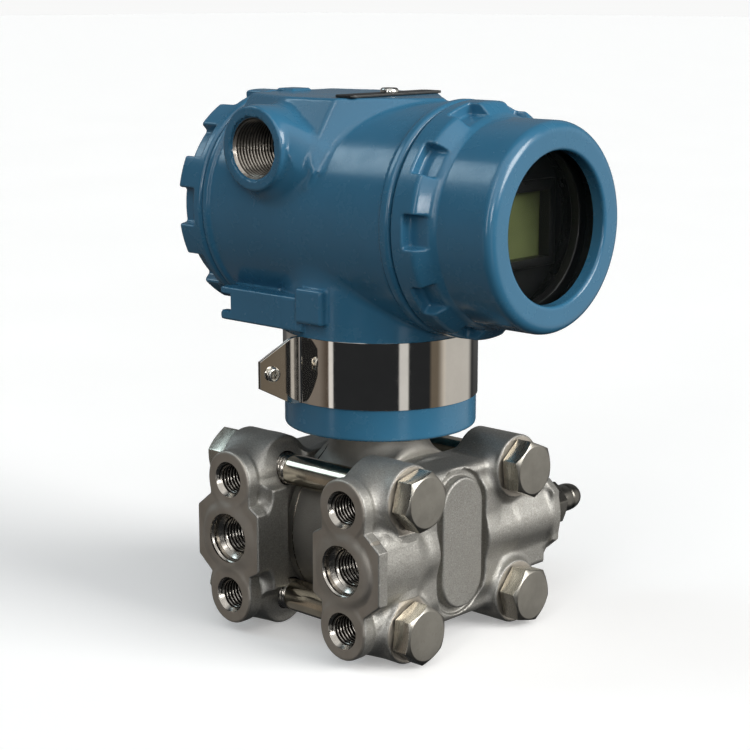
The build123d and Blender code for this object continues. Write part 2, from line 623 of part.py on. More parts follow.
with BuildPart() as window_retainer:
    ring_x(61.5, 64.98, 25.6, 29.35, 0, AXIS_Z)
window_retainer.part.label = "window_retainer"

with BuildPart() as front_cover_seal:
    oring_x(FRONT_X + SEAM - 2.1, 31.5, 0.86, AXIS_Z)
front_cover_seal.part.label = "front_cover_seal"

with BuildPart() as rear_cover:
    cyl_x(REAR_END, REAR_X - SEAM, LUG_R, 0, AXIS_Z)
    fillet(rear_cover.edges().filter_by(GeomType.CIRCLE).sort_by(Axis.X)[0], 1.6)
    cyl_x(REAR_X - SEAM - 1, -38.2, WALL_R - 0.08, 0, AXIS_Z)
    with BuildSketch(yz(REAR_X - SEAM + 1.0)):
        with Locations((0, AXIS_Z)):
            Circle(WALL_R + 1)
            Circle(30.6, mode=Mode.SUBTRACT)
    extrude(amount=2.2, mode=Mode.SUBTRACT)
    cyl_x(-55.7, -37.0, 28.8, 0, AXIS_Z, Mode.SUBTRACT)
    lug_notches(REAR_END - 0.5, REAR_X - SEAM - 3.8, LUG_FLOOR, 0.0)
rear_cover.part.label = "rear_cover"

with BuildPart() as rear_cover_seal:
    oring_x(REAR_X - SEAM + 2.1, 31.5, 0.86, AXIS_Z)
rear_cover_seal.part.label = "rear_cover_seal"

# ------------------------------------------------------------------- export
export_step(sensor_cell.part, "parts/sensor_cell.step")
export_step(isolating_diaphragms.part, "parts/isolating_diaphragms.step")
export_step(capacitor_capsule.part, "parts/capacitor_capsule.step")
export_step(cell_header.part, "parts/cell_header.step")
export_step(process_seals.part, "parts/process_seals.step")
export_step(high_flange.part, "parts/high_flange.step")
export_step(low_flange.part, "parts/low_flange.step")
export_step(flange_bolts.part, "parts/flange_bolts.step")
export_step(flange_nuts.part, "parts/flange_nuts.step")
export_step(vent_seat_high.part, "parts/vent_seat_high.step")
export_step(vent_seat_low.part, "parts/vent_seat_low.step")
export_step(vent_stem_high.part, "parts/vent_stem_high.step")
export_step(vent_stem_low.part, "parts/vent_stem_low.step")
export_step(vent_ring_high.part, "parts/vent_ring_high.step")
export_step(vent_ring_low.part, "parts/vent_ring_low.step")
export_step(neck_seal.part, "parts/neck_seal.step")
export_step(neck_retainer.part, "parts/neck_retainer.step")
export_step(electronics_housing.part, "parts/electronics_housing.step")
export_step(nameplate_band.part, "parts/nameplate_band.step")
export_step(band_screw.part, "parts/band_screw.step")
export_step(band_nut.part, "parts/band_nut.step")
export_step(access_plate.part, "parts/access_plate.step")
export_step(plate_screw.part, "parts/plate_screw.step")
export_step(zero_screw.part, "parts/zero_screw.step")
export_step(span_screw.part, "parts/span_screw.step")
export_step(amplifier_board.part, "parts/amplifier_board.step")
export_step(board_standoffs.part, "parts/board_standoffs.step")
export_step(display_board.part, "parts/display_board.step")
export_step(lcd_panel.part, "parts/lcd_panel.step")
export_step(display_bezel.part, "parts/display_bezel.step")
export_step(terminal_block.part, "parts/terminal_block.step")
export_step(terminal_screws.part, "parts/terminal_screws.step")
export_step(ground_screw.part, "parts/ground_screw.step")
export_step(front_cover.part, "parts/front_cover.step")
export_step(window_gasket.part, "parts/window_gasket.step")
export_step(window_glass.part, "parts/window_glass.step")
export_step(window_retainer.part, "parts/window_retainer.step")
export_step(front_cover_seal.part, "parts/front_cover_seal.step")
export_step(rear_cover.part, "parts/rear_cover.step")
export_step(rear_cover_seal.part, "parts/rear_cover_seal.step")
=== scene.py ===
import math

import bmesh
import bpy
import numpy as np
from mathutils import Matrix, Vector


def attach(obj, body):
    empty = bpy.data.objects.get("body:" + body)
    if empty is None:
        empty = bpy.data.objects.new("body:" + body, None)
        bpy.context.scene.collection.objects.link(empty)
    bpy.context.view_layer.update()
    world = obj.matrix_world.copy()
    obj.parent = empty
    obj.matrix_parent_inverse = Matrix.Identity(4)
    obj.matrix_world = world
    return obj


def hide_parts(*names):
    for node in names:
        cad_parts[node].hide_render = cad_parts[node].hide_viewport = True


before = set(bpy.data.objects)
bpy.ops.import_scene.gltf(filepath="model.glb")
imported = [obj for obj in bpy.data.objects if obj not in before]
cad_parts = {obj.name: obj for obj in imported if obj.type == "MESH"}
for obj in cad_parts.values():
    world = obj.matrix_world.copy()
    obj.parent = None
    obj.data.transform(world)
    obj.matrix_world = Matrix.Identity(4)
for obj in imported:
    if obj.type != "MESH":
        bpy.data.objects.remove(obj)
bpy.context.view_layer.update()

EAR = math.radians(-100.5)
X_OFF = -7.65
Y_OFF = -(78.0 + 50.0 * math.sin(EAR) - 0.75 * abs(math.cos(EAR))) / 2
Z_OFF = 34.0
OFF = np.array([X_OFF, Y_OFF, Z_OFF])
AXIS_Z = 111.6


# ------------------------------------------------------------ distance fields
def box(P, lo, hi, r=0.0):
    lo, hi = np.array(lo, float), np.array(hi, float)
    q = [np.abs(P[i] - (lo[i] + hi[i]) / 2) - ((hi[i] - lo[i]) / 2 - r) for i in range(3)]
    out = np.sqrt(sum(np.maximum(c, 0) ** 2 for c in q))
    return out + np.minimum(np.maximum(np.maximum(q[0], q[1]), q[2]), 0) - r


def cyl(P, axis, a, b, c0, c1, R, r=0.0):
    """Cylinder along axis from a to b, centred at c0, c1 on the other two axes."""
    i = "xyz".index(axis)
    j, k = [n for n in range(3) if n != i]
    d = np.sqrt((P[j] - c0) ** 2 + (P[k] - c1) ** 2) - (R - r)
    h = np.abs(P[i] - (a + b) / 2) - (abs(b - a) / 2 - r)
    return np.sqrt(np.maximum(d, 0) ** 2 + np.maximum(h, 0) ** 2) + np.minimum(np.maximum(d, h), 0) - r


def poly(u, v, pts):
    """Signed distance to a closed polygon."""
    pts = np.array(pts, float)
    n = len(pts)
    d = np.full(u.shape, 1e12)
    s = np.ones(u.shape)
    for i in range(n):
        ax, ay = pts[i]
        bx, by = pts[i - 1]
        ex, ey = bx - ax, by - ay
        wx, wy = u - ax, v - ay
        t = np.clip((wx * ex + wy * ey) / (ex * ex + ey * ey), 0, 1)
        d = np.minimum(d, (wx - ex * t) ** 2 + (wy - ey * t) ** 2)
        c1, c2, c3 = v >= ay, v < by, ex * wy > ey * wx
        s = np.where((c1 & c2 & c3) | (~c1 & ~c2 & ~c3), -s, s)
    return s * np.sqrt(d)


def slot(u, v, cu, cv, half, r):
    """Upright slot: half is the half length of its straight part."""
    return np.sqrt((u - cu) ** 2 + np.maximum(np.abs(v - cv) - half, 0) ** 2) - r


def slab(d2, w, a, b, r=0.0):
    """Extrude a 2-D distance between a and b along w, edges rounded r."""
    d = d2 + r
    h = np.abs(w - (a + b) / 2) - (abs(b - a) / 2 - r)
    return np.sqrt(np.maximum(d, 0) ** 2 + np.maximum(h, 0) ** 2) + np.minimum(np.maximum(d, h), 0) - r


def join(a, b, r):
    u, v = np.maximum(r - a, 0), np.maximum(r - b, 0)
    return np.maximum(r, np.minimum(a, b)) - np.sqrt(u * u + v * v)


def meet(a, b, r):
    u, v = np.maximum(r + a, 0), np.maximum(r + b, 0)
    return np.minimum(-r, np.maximum(a, b)) + np.sqrt(u * u + v * v)


def cut(a, b, r):
    return meet(a, -b, r)


# ------------------------------------------------------------------- meshing
def net(field, lo, hi, h):
    """Quads on the zero surface of a field, their corners slid onto it."""
    lo, hi = np.array(lo, float), np.array(hi, float)
    n = np.ceil((hi - lo) / h).astype(int) + 1
    ax = [lo[i] + np.arange(n[i]) * h for i in range(3)]
    P = np.meshgrid(*ax, indexing="ij")
    F = field(P).astype(np.float32)
    S = F < 0
    c = [np.s_[:-1], np.s_[1:]]
    count = np.zeros(tuple(n - 1), np.int16)
    for i in (0, 1):
        for j in (0, 1):
            for k in (0, 1):
                count += S[c[i], c[j], c[k]]
    live = (count > 0) & (count < 8)
    ids = np.full(live.shape, -1, np.int64)
    ids[live] = np.arange(live.sum())
    cells = np.argwhere(live)
    acc = np.zeros((len(cells), 3))
    num = np.zeros(len(cells))
    for a in range(3):
        o = [x for x in range(3) if x != a]
        for i in (0, 1):
            for j in (0, 1):
                p = cells.copy()
                p[:, o[0]] += i
                p[:, o[1]] += j
                q = p.copy()
                q[:, a] += 1
                f0, f1 = F[tuple(p.T)], F[tuple(q.T)]
                hit = (f0 < 0) != (f1 < 0)
                t = np.where(hit, f0 / np.where(hit, f0 - f1, 1), 0)
                w = p.astype(float)
                w[:, a] += t
                acc += np.where(hit[:, None], w, 0)
                num += hit
    V = lo + h * acc / num[:, None]
    quads = []
    for a in range(3):
        o = [x for x in range(3) if x != a]
        s0 = [slice(1, -1)] * 3
        s0[a] = slice(0, -1)
        s1 = list(s0)
        s1[a] = slice(1, None)
        A, B = S[tuple(s0)], S[tuple(s1)]
        base = [1, 1, 1]
        base[a] = 0
        e = np.argwhere(A != B)
        inside = A[tuple(e.T)]
        e = e + np.array(base)
        ring = []
        for i, j in ((0, 0), (1, 0), (1, 1), (0, 1)):
            p = e.copy()
            p[:, o[0]] -= 1 - i
            p[:, o[1]] -= 1 - j
            ring.append(ids[tuple(p.T)])
        ring = np.array(ring).T
        flip = inside if a != 1 else ~inside
        ring[~flip] = ring[~flip][:, ::-1]
        quads.append(ring)
    Q = np.concatenate(quads)
    for _ in range(4):
        g, f = slope(field, V)
        V = V - g * np.clip(f, -0.4 * h, 0.4 * h)[:, None]
    return V, Q


def slope(field, V, e=0.02):
    """Unit gradient and value of a field at points."""
    T = [V[:, 0], V[:, 1], V[:, 2]]
    f = field(T)
    g = np.zeros_like(V)
    for i in range(3):
        A, B = [x.copy() for x in T], [x.copy() for x in T]
        A[i] += e
        B[i] -= e
        g[:, i] = field(A) - field(B)
    m = np.linalg.norm(g, axis=1)
    return g / np.maximum(m, 1e-9)[:, None], f / np.maximum(m / (2 * e), 0.3)


def add(name, V, faces, body, smooth=True):
    """Mesh object from points in mm and faces, riding on a body."""
    me = bpy.data.meshes.new(name)
    V = (np.asarray(V, float) + OFF) / 1000.0
    if isinstance(faces, np.ndarray) and faces.ndim == 2:
        k = faces.shape[1]
        me.vertices.add(len(V))
        me.vertices.foreach_set("co", V.astype(np.float32).ravel())
        me.loops.add(faces.size)
        me.loops.foreach_set("vertex_index", faces.astype(np.int32).ravel())
        me.polygons.add(len(faces))
        me.polygons.foreach_set("loop_start", np.arange(len(faces), dtype=np.int32) * k)
        me.update(calc_edges=True)
        me.validate()
    else:
        me.from_pydata([tuple(v) for v in V], [], [tuple(int(i) for i in f) for f in faces])
        me.validate()
        me.update()
    o = bpy.data.objects.new(name, me)
    bpy.context.scene.collection.objects.link(o)
    me.polygons.foreach_set("use_smooth", [smooth] * len(me.polygons))
    if body:
        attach(o, body)
    return o


def apply_mods(o):
    dg = bpy.context.evaluated_depsgraph_get()
    me = bpy.data.meshes.new_from_object(o.evaluated_get(dg), depsgraph=dg)
    old = o.data
    o.modifiers.clear()
    o.data = me
    me.name = o.name
    bpy.data.meshes.remove(old)


def boolean(o, tools, op="DIFFERENCE", solver="MANIFOLD"):
    """Boolean with several closed meshes, one after another; tools are used up."""
    for t in tools:
        m = o.modifiers.new("b", "BOOLEAN")
        m.operation = op
        m.solver = solver
        m.object = t
    bpy.context.view_layer.update()
    apply_mods(o)
    for t in tools:
        me = t.data
        bpy.data.objects.remove(t)
        bpy.data.meshes.remove(me)


def sharp(o, deg=32):
    me = o.data
    me.polygons.foreach_set("use_smooth", [True] * len(me.polygons))
    me.set_sharp_from_angle(angle=math.radians(deg))
    me.update()


def bevel(o, width, segments=3, deg=30, harden=False):
    m = o.modifiers.new("bevel", "BEVEL")
    m.width = width / 1000
    m.segments = segments
    m.limit_method = "ANGLE"
    m.angle_limit = math.radians(deg)
    m.miter_outer = "MITER_ARC"
    m.harden_normals = harden
    m.use_clamp_overlap = True
    apply_mods(o)


def true_normals(o, field, tol=0.03, deg=32):
    """Shade with the field's own slope where a corner lies on its surface."""
    sharp(o, deg)
    me = o.data
    n = len(me.vertices)
    co = np.zeros(n * 3, np.float32)
    me.vertices.foreach_get("co", co)
    V = co.reshape(-1, 3).astype(float) * 1000 - OFF
    g, f = slope(field, V)
    on = np.abs(f) < tol
    cn = np.zeros(len(me.loops) * 3, np.float32)
    me.corner_normals.foreach_get("vector", cn)
    cn = cn.reshape(-1, 3)
    lv = np.zeros(len(me.loops), np.int32)
    me.loops.foreach_get("vertex_index", lv)
    pn = np.zeros(len(me.polygons) * 3, np.float32)
    me.polygons.foreach_get("normal", pn)
    pn = pn.reshape(-1, 3)
    tot = np.zeros(len(me.polygons), np.int32)
    me.polygons.foreach_get("loop_total", tot)
    pl = np.repeat(pn, tot, axis=0)
    good = on[lv] & ((g[lv] * pl).sum(1) > 0.8)
    cn[good] = g[lv][good]
    me.normals_split_custom_set([tuple(v) for v in cn.tolist()])
    return on


# ------------------------------------------------------------- lathe and rods
def frame_of(axis):
    """Two directions square to an axis, right-handed with it."""
    return {"x": ((0, 1, 0), (0, 0, 1), (1, 0, 0)), "y": ((0, 0, 1), (1, 0, 0), (0, 1, 0)),
            "z": ((1, 0, 0), (0, 1, 0), (0, 0, 1))}[axis]


def rod(prof, axis, centre, seg=64, radius=None):
    """Closed solid of revolution. prof is [(along, r)...] from one end to the
    other; ends with r > 0 are capped. radius(along, angle, r) may change it."""
    e0, e1, e2 = (np.array(v, float) for v in frame_of(axis))
    c = np.array(centre, float)
    th = np.arange(seg) * 2 * np.pi / seg
    V, F = [], []
    rings = []
    for a, r in prof:
        if r < 1e-6:
            rings.append([len(V)])
            V.append(c + e2 * a)
        else:
            rings.append(list(range(len(V), len(V) + seg)))
            rr = np.full(seg, r) if radius is None else radius(a, th, r)
            for t, q in zip(th, rr):
                V.append(c + e2 * a + q * (math.cos(t) * e0 + math.sin(t) * e1))
    up = prof[-1][0] > prof[0][0] or True
    for A, B in zip(rings, rings[1:]):
        for i in range(seg):
            j = (i + 1) % seg
            if len(A) == 1 and len(B) == 1:
                continue
            if len(A) == 1:
                F.append([A[0], B[j], B[i]])
            elif len(B) == 1:
                F.append([A[i], A[j], B[0]])
            else:
                F.append([A[i], A[j], B[j], B[i]])
    if len(rings[0]) > 1:
        F.append(rings[0][::-1])
    if len(rings[-1]) > 1:
        F.append(list(rings[-1]))
    return V, F


def rod_object(name, prof, axis, centre, seg=64, body=None, radius=None):
    V, F = rod(prof, axis, centre, seg, radius)
    o = add(name, V, F, body)
    fix(o)
    return o


def fix(o):
    """Outward normals all over."""
    bm = bmesh.new()
    bm.from_mesh(o.data)
    bmesh.ops.recalc_face_normals(bm, faces=bm.faces)
    bm.to_mesh(o.data)
    bm.free()
    o.data.update()


def ring_prof(pts):
    return pts + [pts[0]]


def turned(name, pts, axis, centre, seg=96, body=None):
    """Closed ring: pts is a closed outline [(along, r)...] off the axis."""
    e0, e1, e2 = (np.array(v, float) for v in frame_of(axis))
    c = np.array(centre, float)
    n = len(pts)
    V, F = [], []
    for i in range(seg):
        t = 2 * np.pi * i / seg
        for a, r in pts:
            V.append(c + e2 * a + r * (math.cos(t) * e0 + math.sin(t) * e1))
    for i in range(seg):
        j = (i + 1) % seg
        for k in range(n):
            m = (k + 1) % n
            F.append([i * n + k, i * n + m, j * n + m, j * n + k])
    o = add(name, V, F, body)
    fix(o)
    return o


def thread(major, depth, pitch, a0, a1, fade0=0.0, fade1=0.0, per=8, taper=0.0):
    """Profile and radius function of a screw thread between a0 and a1. The
    radius swings between major and major - depth; at a fade it runs out to
    major (fade > 0) or to major - depth (fade < 0)."""
    n = max(2, int(round((a1 - a0) / pitch * per)))
    prof = [(a0 + (a1 - a0) * i / n, major) for i in range(n + 1)]

    def radius(a, th, r):
        ph = (a / pitch - th / (2 * np.pi)) % 1.0
        w = np.clip((1 - np.abs(2 * ph - 1) - 0.10) / 0.80, 0, 1)
        if fade0 > 0:
            w = w * min(1.0, (a - a0) / fade0)
        if fade1 > 0:
            w = w * min(1.0, (a1 - a) / fade1)
        if fade0 < 0:
            w = 1 - (1 - w) * min(1.0, (a - a0) / -fade0)
        if fade1 < 0:
            w = 1 - (1 - w) * min(1.0, (a1 - a) / -fade1)
        return r - taper * abs(a - a0) - depth * w
    return prof, radius


def hexagon(name, af, a, b, axis, centre, turn, body=None, ch_top=True, ch_bot=False, face_r=None, grow=30, seg=96):
    """Hexagon with a turned chamfer at its ends, from a to b along the axis."""
    e0, e1, e2 = (np.array(v, float) for v in frame_of(axis))
    V, F = [], []
    c = np.array(centre, float)
    R = af / 2 / math.cos(math.pi / 6)
    n = seg
    th = np.arange(n) * 2 * np.pi / n + math.radians(turn)
    loc = np.arange(n) * 2 * np.pi / n
    hexr = af / 2 / np.cos(((loc + np.pi / 6) % (np.pi / 3)) - np.pi / 6)
    k = math.tan(math.radians(grow))
    fr = face_r or af / 2 * 0.955
    s = 1 if b > a else -1
    hi = b - s * np.maximum(hexr - fr, 0) * k * (1 if ch_top else 0)
    lo = a + s * np.maximum(hexr - fr, 0) * k * (1 if ch_bot else 0)

    def put(t, r, z):
        V.append(c + e2 * z + r * (math.cos(t) * e0 + math.sin(t) * e1))
    rows = []
    for kind in range(4):
        start = len(V)
        for i in range(n):
            if kind == 0:
                put(th[i], fr, a)
            elif kind == 1:
                put(th[i], hexr[i], lo[i])
            elif kind == 2:
                put(th[i], hexr[i], hi[i])
            else:
                put(th[i], fr, b)
        rows.append(list(range(start, start + n)))
    for A, B in zip(rows, rows[1:]):
        for i in range(n):
            j = (i + 1) % n
            F.append([A[i], A[j], B[j], B[i]])
    F.append(rows[0][::-1])
    F.append(rows[-1])
    o = add(name, V, F, body)
    fix(o)
    return o


# ------------------------------------------------------------------ materials
def rgb(r, g, b):
    """sRGB 0-255 to linear."""
    out = []
    for c in (r, g, b):
        c /= 255
        out.append(c / 12.92 if c <= 0.04045 else ((c + 0.055) / 1.055) ** 2.4)
    return (*out, 1.0)


class Mat:
    """Principled material whose detail is mixed from noise in object space."""

    def __init__(self, name, base, metallic=0.0, rough=0.4, **sockets):
        self.m = bpy.data.materials.new(name)
        self.m.use_nodes = True
        self.t = self.m.node_tree
        self.p = next(n for n in self.t.nodes if n.type == "BSDF_PRINCIPLED")
        self.p.inputs["Base Color"].default_value = base
        self.p.inputs["Metallic"].default_value = metallic
        self.p.inputs["Roughness"].default_value = rough
        for k, v in sockets.items():
            self.p.inputs[k.replace("_", " ")].default_value = v
        self.co = self.node("ShaderNodeTexCoord").outputs["Object"]
        self.base, self.rough = base, rough
        self.bumps = None
        self.m.diffuse_color = base

    def node(self, kind, **kw):
        n = self.t.nodes.new(kind)
        for k, v in kw.items():
            setattr(n, k, v)
        return n

    def link(self, a, b):
        self.t.links.new(a, b)

    def noise(self, scale, detail=3.0, rough=0.55, stretch=None, distortion=0.0):
        n = self.node("ShaderNodeTexNoise")
        n.inputs["Scale"].default_value = scale
        n.inputs["Detail"].default_value = detail
        n.inputs["Roughness"].default_value = rough
        n.inputs["Distortion"].default_value = distortion
        co = self.co
        if stretch:
            mp = self.node("ShaderNodeMapping")
            mp.inputs["Scale"].default_value = stretch
            self.link(co, mp.inputs["Vector"])
            co = mp.outputs["Vector"]
        self.link(co, n.inputs["Vector"])
        return n.outputs["Fac"]

    def cells(self, scale, feature="F1"):
        n = self.node("ShaderNodeTexVoronoi", feature=feature)
        n.inputs["Scale"].default_value = scale
        self.link(self.co, n.inputs["Vector"])
        return n.outputs["Distance"]

    def rings(self, axis, centre, scale, dist=0.4):
        """Turned marks about an axis through a point in mm."""
        mp = self.node("ShaderNodeMapping")
        c = (np.array(centre, float) + OFF) / 1000
        mp.inputs["Location"].default_value = tuple(-c)
        self.link(self.co, mp.inputs["Vector"])
        w = self.node("ShaderNodeTexWave", wave_type="RINGS", rings_direction=axis.upper())
        w.inputs["Scale"].default_value = scale
        w.inputs["Distortion"].default_value = dist
        w.inputs["Detail"].default_value = 3.0
        self.link(mp.outputs["Vector"], w.inputs["Vector"])
        return w.outputs["Fac"]

    def ramp(self, fac, lo, hi, a=0.0, b=1.0):
        n = self.node("ShaderNodeMapRange")
        n.inputs["From Min"].default_value = lo
        n.inputs["From Max"].default_value = hi
        n.inputs["To Min"].default_value = a
        n.inputs["To Max"].default_value = b
        self.link(fac, n.inputs["Value"])
        return n.outputs["Result"]

    def math(self, op, a, b):
        n = self.node("ShaderNodeMath", operation=op)
        for i, v in enumerate((a, b)):
            if isinstance(v, (int, float)):
                n.inputs[i].default_value = v
            else:
                self.link(v, n.inputs[i])
        return n.outputs["Value"]

    def blend(self, fac, c1, c2):
        n = self.node("ShaderNodeMix", data_type="RGBA")
        self.link(fac, n.inputs["Factor"])
        for i, c in ((6, c1), (7, c2)):
            if isinstance(c, tuple):
                n.inputs[i].default_value = c
            else:
                self.link(c, n.inputs[i])
        return n.outputs[2]

    def colour(self, out):
        self.link(out, self.p.inputs["Base Color"])

    def roughness(self, out):
        self.link(out, self.p.inputs["Roughness"])

    def bump(self, height, dist_mm, strength=1.0):
        n = self.node("ShaderNodeBump")
        n.inputs["Distance"].default_value = dist_mm / 1000
        n.inputs["Strength"].default_value = strength
        self.link(height, n.inputs["Height"])
        if self.bumps is not None:
            self.link(self.bumps, n.inputs["Normal"])
        self.bumps = n.outputs["Normal"]
        self.link(self.bumps, self.p.inputs["Normal"])

    def axis(self, i):
        """One object coordinate, in modelling mm."""
        s = self.node("ShaderNodeSeparateXYZ")
        self.link(self.co, s.inputs["Vector"])
        m = self.node("ShaderNodeMath", operation="MULTIPLY_ADD")
        self.link(s.outputs[i], m.inputs[0])
        m.inputs[1].default_value = 1000.0
        m.inputs[2].default_value = -float(OFF[i])
        return m.outputs["Value"]


def shade(c, k):
    return (c[0] * k, c[1] * k, c[2] * k, 1.0)


def enamel():
    base = (0.036, 0.152, 0.262, 1.0)
    m = Mat("blue_enamel", base, 0.0, 0.24, Coat_Weight=0.22, Coat_Roughness=0.04, Specular_IOR_Level=0.5)
    big = m.ramp(m.noise(28, 3), 0.3, 0.7)
    dust = m.ramp(m.noise(900, 4, 0.7), 0.62, 0.9, 0, 0.35)
    c = m.blend(big, shade(base, 0.94), shade(base, 1.05))
    m.colour(m.blend(dust, c, (0.048, 0.172, 0.290, 1.0)))
    m.roughness(m.ramp(m.noise(160, 4), 0.3, 0.75, 0.19, 0.33))
    m.bump(m.noise(620, 2, 0.5), 0.014)
    m.bump(m.noise(150, 2, 0.5), 0.03)
    return m.m


def cast():
    """Shot-blasted stainless casting with its machined faces bright."""
    base = (0.42, 0.412, 0.385, 1.0)
    m = Mat("cast_stainless", base, 1.0, 0.62)
    grain = m.noise(2100, 3, 0.7)
    mid = m.noise(420, 4, 0.6)
    big = m.noise(45, 3, 0.5)
    # machined planes: port faces, vent faces, spot faces
    x, y = m.axis(0), m.axis(1)
    ax = m.math("ABSOLUTE", x, 0.0)
    k = m.math("MAXIMUM", m.ramp(y, -47.30, -47.36), m.ramp(y, 52.40, 52.46))
    az = m.math("ABSOLUTE", m.axis(2), 0.0)
    k = m.math("MAXIMUM", k, m.math("MULTIPLY", m.ramp(ax, 39.40, 39.46), m.ramp(az, 11.0, 11.4)))
    k = m.math("MINIMUM", m.math("MAXIMUM", k, 0.0), 1.0)
    col = m.blend(m.ramp(big, 0.35, 0.65), shade(base, 0.90), shade(base, 1.06))
    col = m.blend(m.ramp(mid, 0.45, 0.72, 0.0, 0.55), col, (0.36, 0.345, 0.315, 1.0))
    col = m.blend(m.ramp(grain, 0.46, 0.60, 0.0, 0.55), col, (0.25, 0.242, 0.222, 1.0))
    # light specks: painted glints, standing in for the sparkle of the blasted surface
    col = m.blend(m.ramp(m.noise(1700, 2, 0.5), 0.60, 0.72, 0.0, 0.6), col, (0.66, 0.65, 0.62, 1.0))
    pits = m.ramp(m.cells(230), 0.0, 0.16, 1.0, 0.0)
    rare = m.ramp(m.noise(120, 2), 0.62, 0.70)
    pit = m.math("MULTIPLY", pits, rare)
    col = m.blend(m.math("MULTIPLY", pit, 0.45), col, (0.16, 0.15, 0.13, 1.0))
    face = m.blend(m.ramp(m.noise(90, 3), 0.35, 0.65), (0.50, 0.46, 0.405, 1.0), (0.59, 0.55, 0.49, 1.0))
    m.colour(m.blend(k, col, face))
    r = m.ramp(grain, 0.3, 0.75, 0.46, 0.64)
    rf = m.ramp(m.noise(260, 4, 0.6), 0.3, 0.7, 0.42, 0.56)
    mix = m.node("ShaderNodeMix", data_type="FLOAT")
    m.link(k, mix.inputs["Factor"])
    m.link(r, mix.inputs[2])
    m.link(rf, mix.inputs[3])
    m.roughness(mix.outputs[0])
    soft = m.math("SUBTRACT", 1.0, k)
    m.bump(m.math("MULTIPLY", grain, soft), 0.12)
    m.bump(m.math("MULTIPLY", mid, soft), 0.10)
    m.bump(m.math("MULTIPLY", pit, m.math("MULTIPLY", soft, -1.0)), 0.22)
    lay = m.noise(1, 2, 0.5, stretch=(300, 1, 3200))
    m.bump(m.math("MULTIPLY", lay, k), 0.012)
    return m.m


def steel(name, base, lo, hi, scale=500, bump=0.01, stretch=None, tone=0.12, dark=None, **kw):
    m = Mat(name, base, 1.0, (lo + hi) / 2, **kw)
    n = m.noise(scale if not stretch else 1.0, 4, 0.6, stretch=stretch)
    m.roughness(m.ramp(n, 0.3, 0.7, lo, hi))
    c = m.blend(m.ramp(m.noise(110, 3), 0.35, 0.65), shade(base, 1 - tone), shade(base, 1 + tone / 2))
    if dark:
        c = m.blend(m.ramp(m.noise(700, 5, 0.7), 0.56, 0.78, 0, 0.7), c, dark)
    m.colour(c)
    m.bump(n, bump)
    return m.m


def port_thread():
    """Cut thread of the flange holes: crests bright, roots painted dark as painted shade in the thread's recesses."""
    m = Mat("flange_hole_thread", (0.42, 0.395, 0.355, 1.0), 1.0, 0.3)
    x, z = m.axis(0), m.axis(2)
    u = m.math("SUBTRACT", m.math("ABSOLUTE", x, 0.0), 27.0)
    v = m.math("SUBTRACT", m.math("ABSOLUTE", z, 0.0), 20.65)

    def radius(a, b):
        return m.math("SQRT", m.math("ADD", m.math("MULTIPLY", a, a), m.math("MULTIPLY", b, b)), 0.0)
    # k is 1 at the thread roots; the roots are painted near-black there, a painted shade in the recesses
    k = m.math("MINIMUM", m.ramp(radius(u, z), 5.74, 6.05), m.ramp(radius(u, v), 4.78, 5.02))
    c = m.blend(m.ramp(m.noise(300, 4, 0.6), 0.3, 0.7), (0.34, 0.315, 0.28, 1.0), (0.52, 0.49, 0.44, 1.0))
    m.colour(m.blend(k, c, (0.022, 0.020, 0.017, 1.0)))
    m.roughness(m.ramp(k, 0.0, 1.0, 0.24, 0.6))
    m.bump(m.noise(900, 3), 0.01)
    return m.m


def conduit_thread():
    """Cut thread of the conduit entries: bare alloy, roots painted dark as painted shade in the thread's recesses."""
    m = Mat("conduit_hole_thread", (0.36, 0.33, 0.29, 1.0), 1.0, 0.36)
    u = m.math("ADD", m.axis(0), 19.1)
    v = m.math("SUBTRACT", m.axis(2), 133.8)
    r = m.math("SQRT", m.math("ADD", m.math("MULTIPLY", u, u), m.math("MULTIPLY", v, v)), 0.0)
    # k is 1 at the thread roots, which are painted dark: painted shade in the recesses
    k = m.ramp(r, 9.3, 9.8)
    c = m.blend(m.ramp(m.noise(300, 4, 0.6), 0.3, 0.7), (0.26, 0.235, 0.20, 1.0), (0.38, 0.35, 0.305, 1.0))
    m.colour(m.blend(k, c, (0.055, 0.048, 0.040, 1.0)))
    m.roughness(m.ramp(k, 0.0, 1.0, 0.30, 0.6))
    m.bump(m.noise(900, 3), 0.012)
    return m.m


def turned_steel(name, base, axis, centre, lo=0.22, hi=0.36, scale=900):
    m = Mat(name, base, 1.0, 0.3)
    w = m.rings(axis, centre, scale)
    n = m.noise(240, 4, 0.6)
    m.colour(m.blend(m.ramp(n, 0.3, 0.7), shade(base, 0.88), shade(base, 1.08)))
    m.roughness(m.ramp(m.noise(700, 3), 0.3, 0.7, lo, hi))
    m.bump(w, 0.006)
    m.bump(n, 0.02)
    return m.m


def plastic(name, base, rough, scale=1400, bump=0.02, **kw):
    m = Mat(name, base, 0.0, rough, **kw)
    n = m.noise(scale, 3, 0.6)
    m.colour(m.blend(m.ramp(m.noise(80, 3), 0.3, 0.7), shade(base, 0.86), shade(base, 1.12)))
    m.roughness(m.ramp(n, 0.3, 0.7, max(0.02, rough - 0.07), rough + 0.08))
    m.bump(n, bump)
    return m.m


def laminate():
    base = (0.020, 0.105, 0.050, 1.0)
    m = Mat("board_laminate", base, 0.0, 0.4, Coat_Weight=0.3, Coat_Roughness=0.2)
    br = m.node("ShaderNodeTexBrick")
    br.inputs["Scale"].default_value = 260
    br.inputs["Color1"].default_value = (0.018, 0.10, 0.047, 1)
    br.inputs["Color2"].default_value = (0.026, 0.125, 0.060, 1)
    br.inputs["Mortar"].default_value = (0.035, 0.155, 0.075, 1)
    br.inputs["Mortar Size"].default_value = 0.02
    mp = m.node("ShaderNodeMapping")
    mp.inputs["Rotation"].default_value = (0, math.pi / 2, 0)
    m.link(m.co, mp.inputs["Vector"])
    m.link(mp.outputs["Vector"], br.inputs["Vector"])
    m.colour(br.outputs["Color"])
    m.roughness(m.ramp(m.noise(500, 3), 0.3, 0.7, 0.32, 0.5))
    m.bump(br.outputs["Fac"], 0.02)
    return m.m


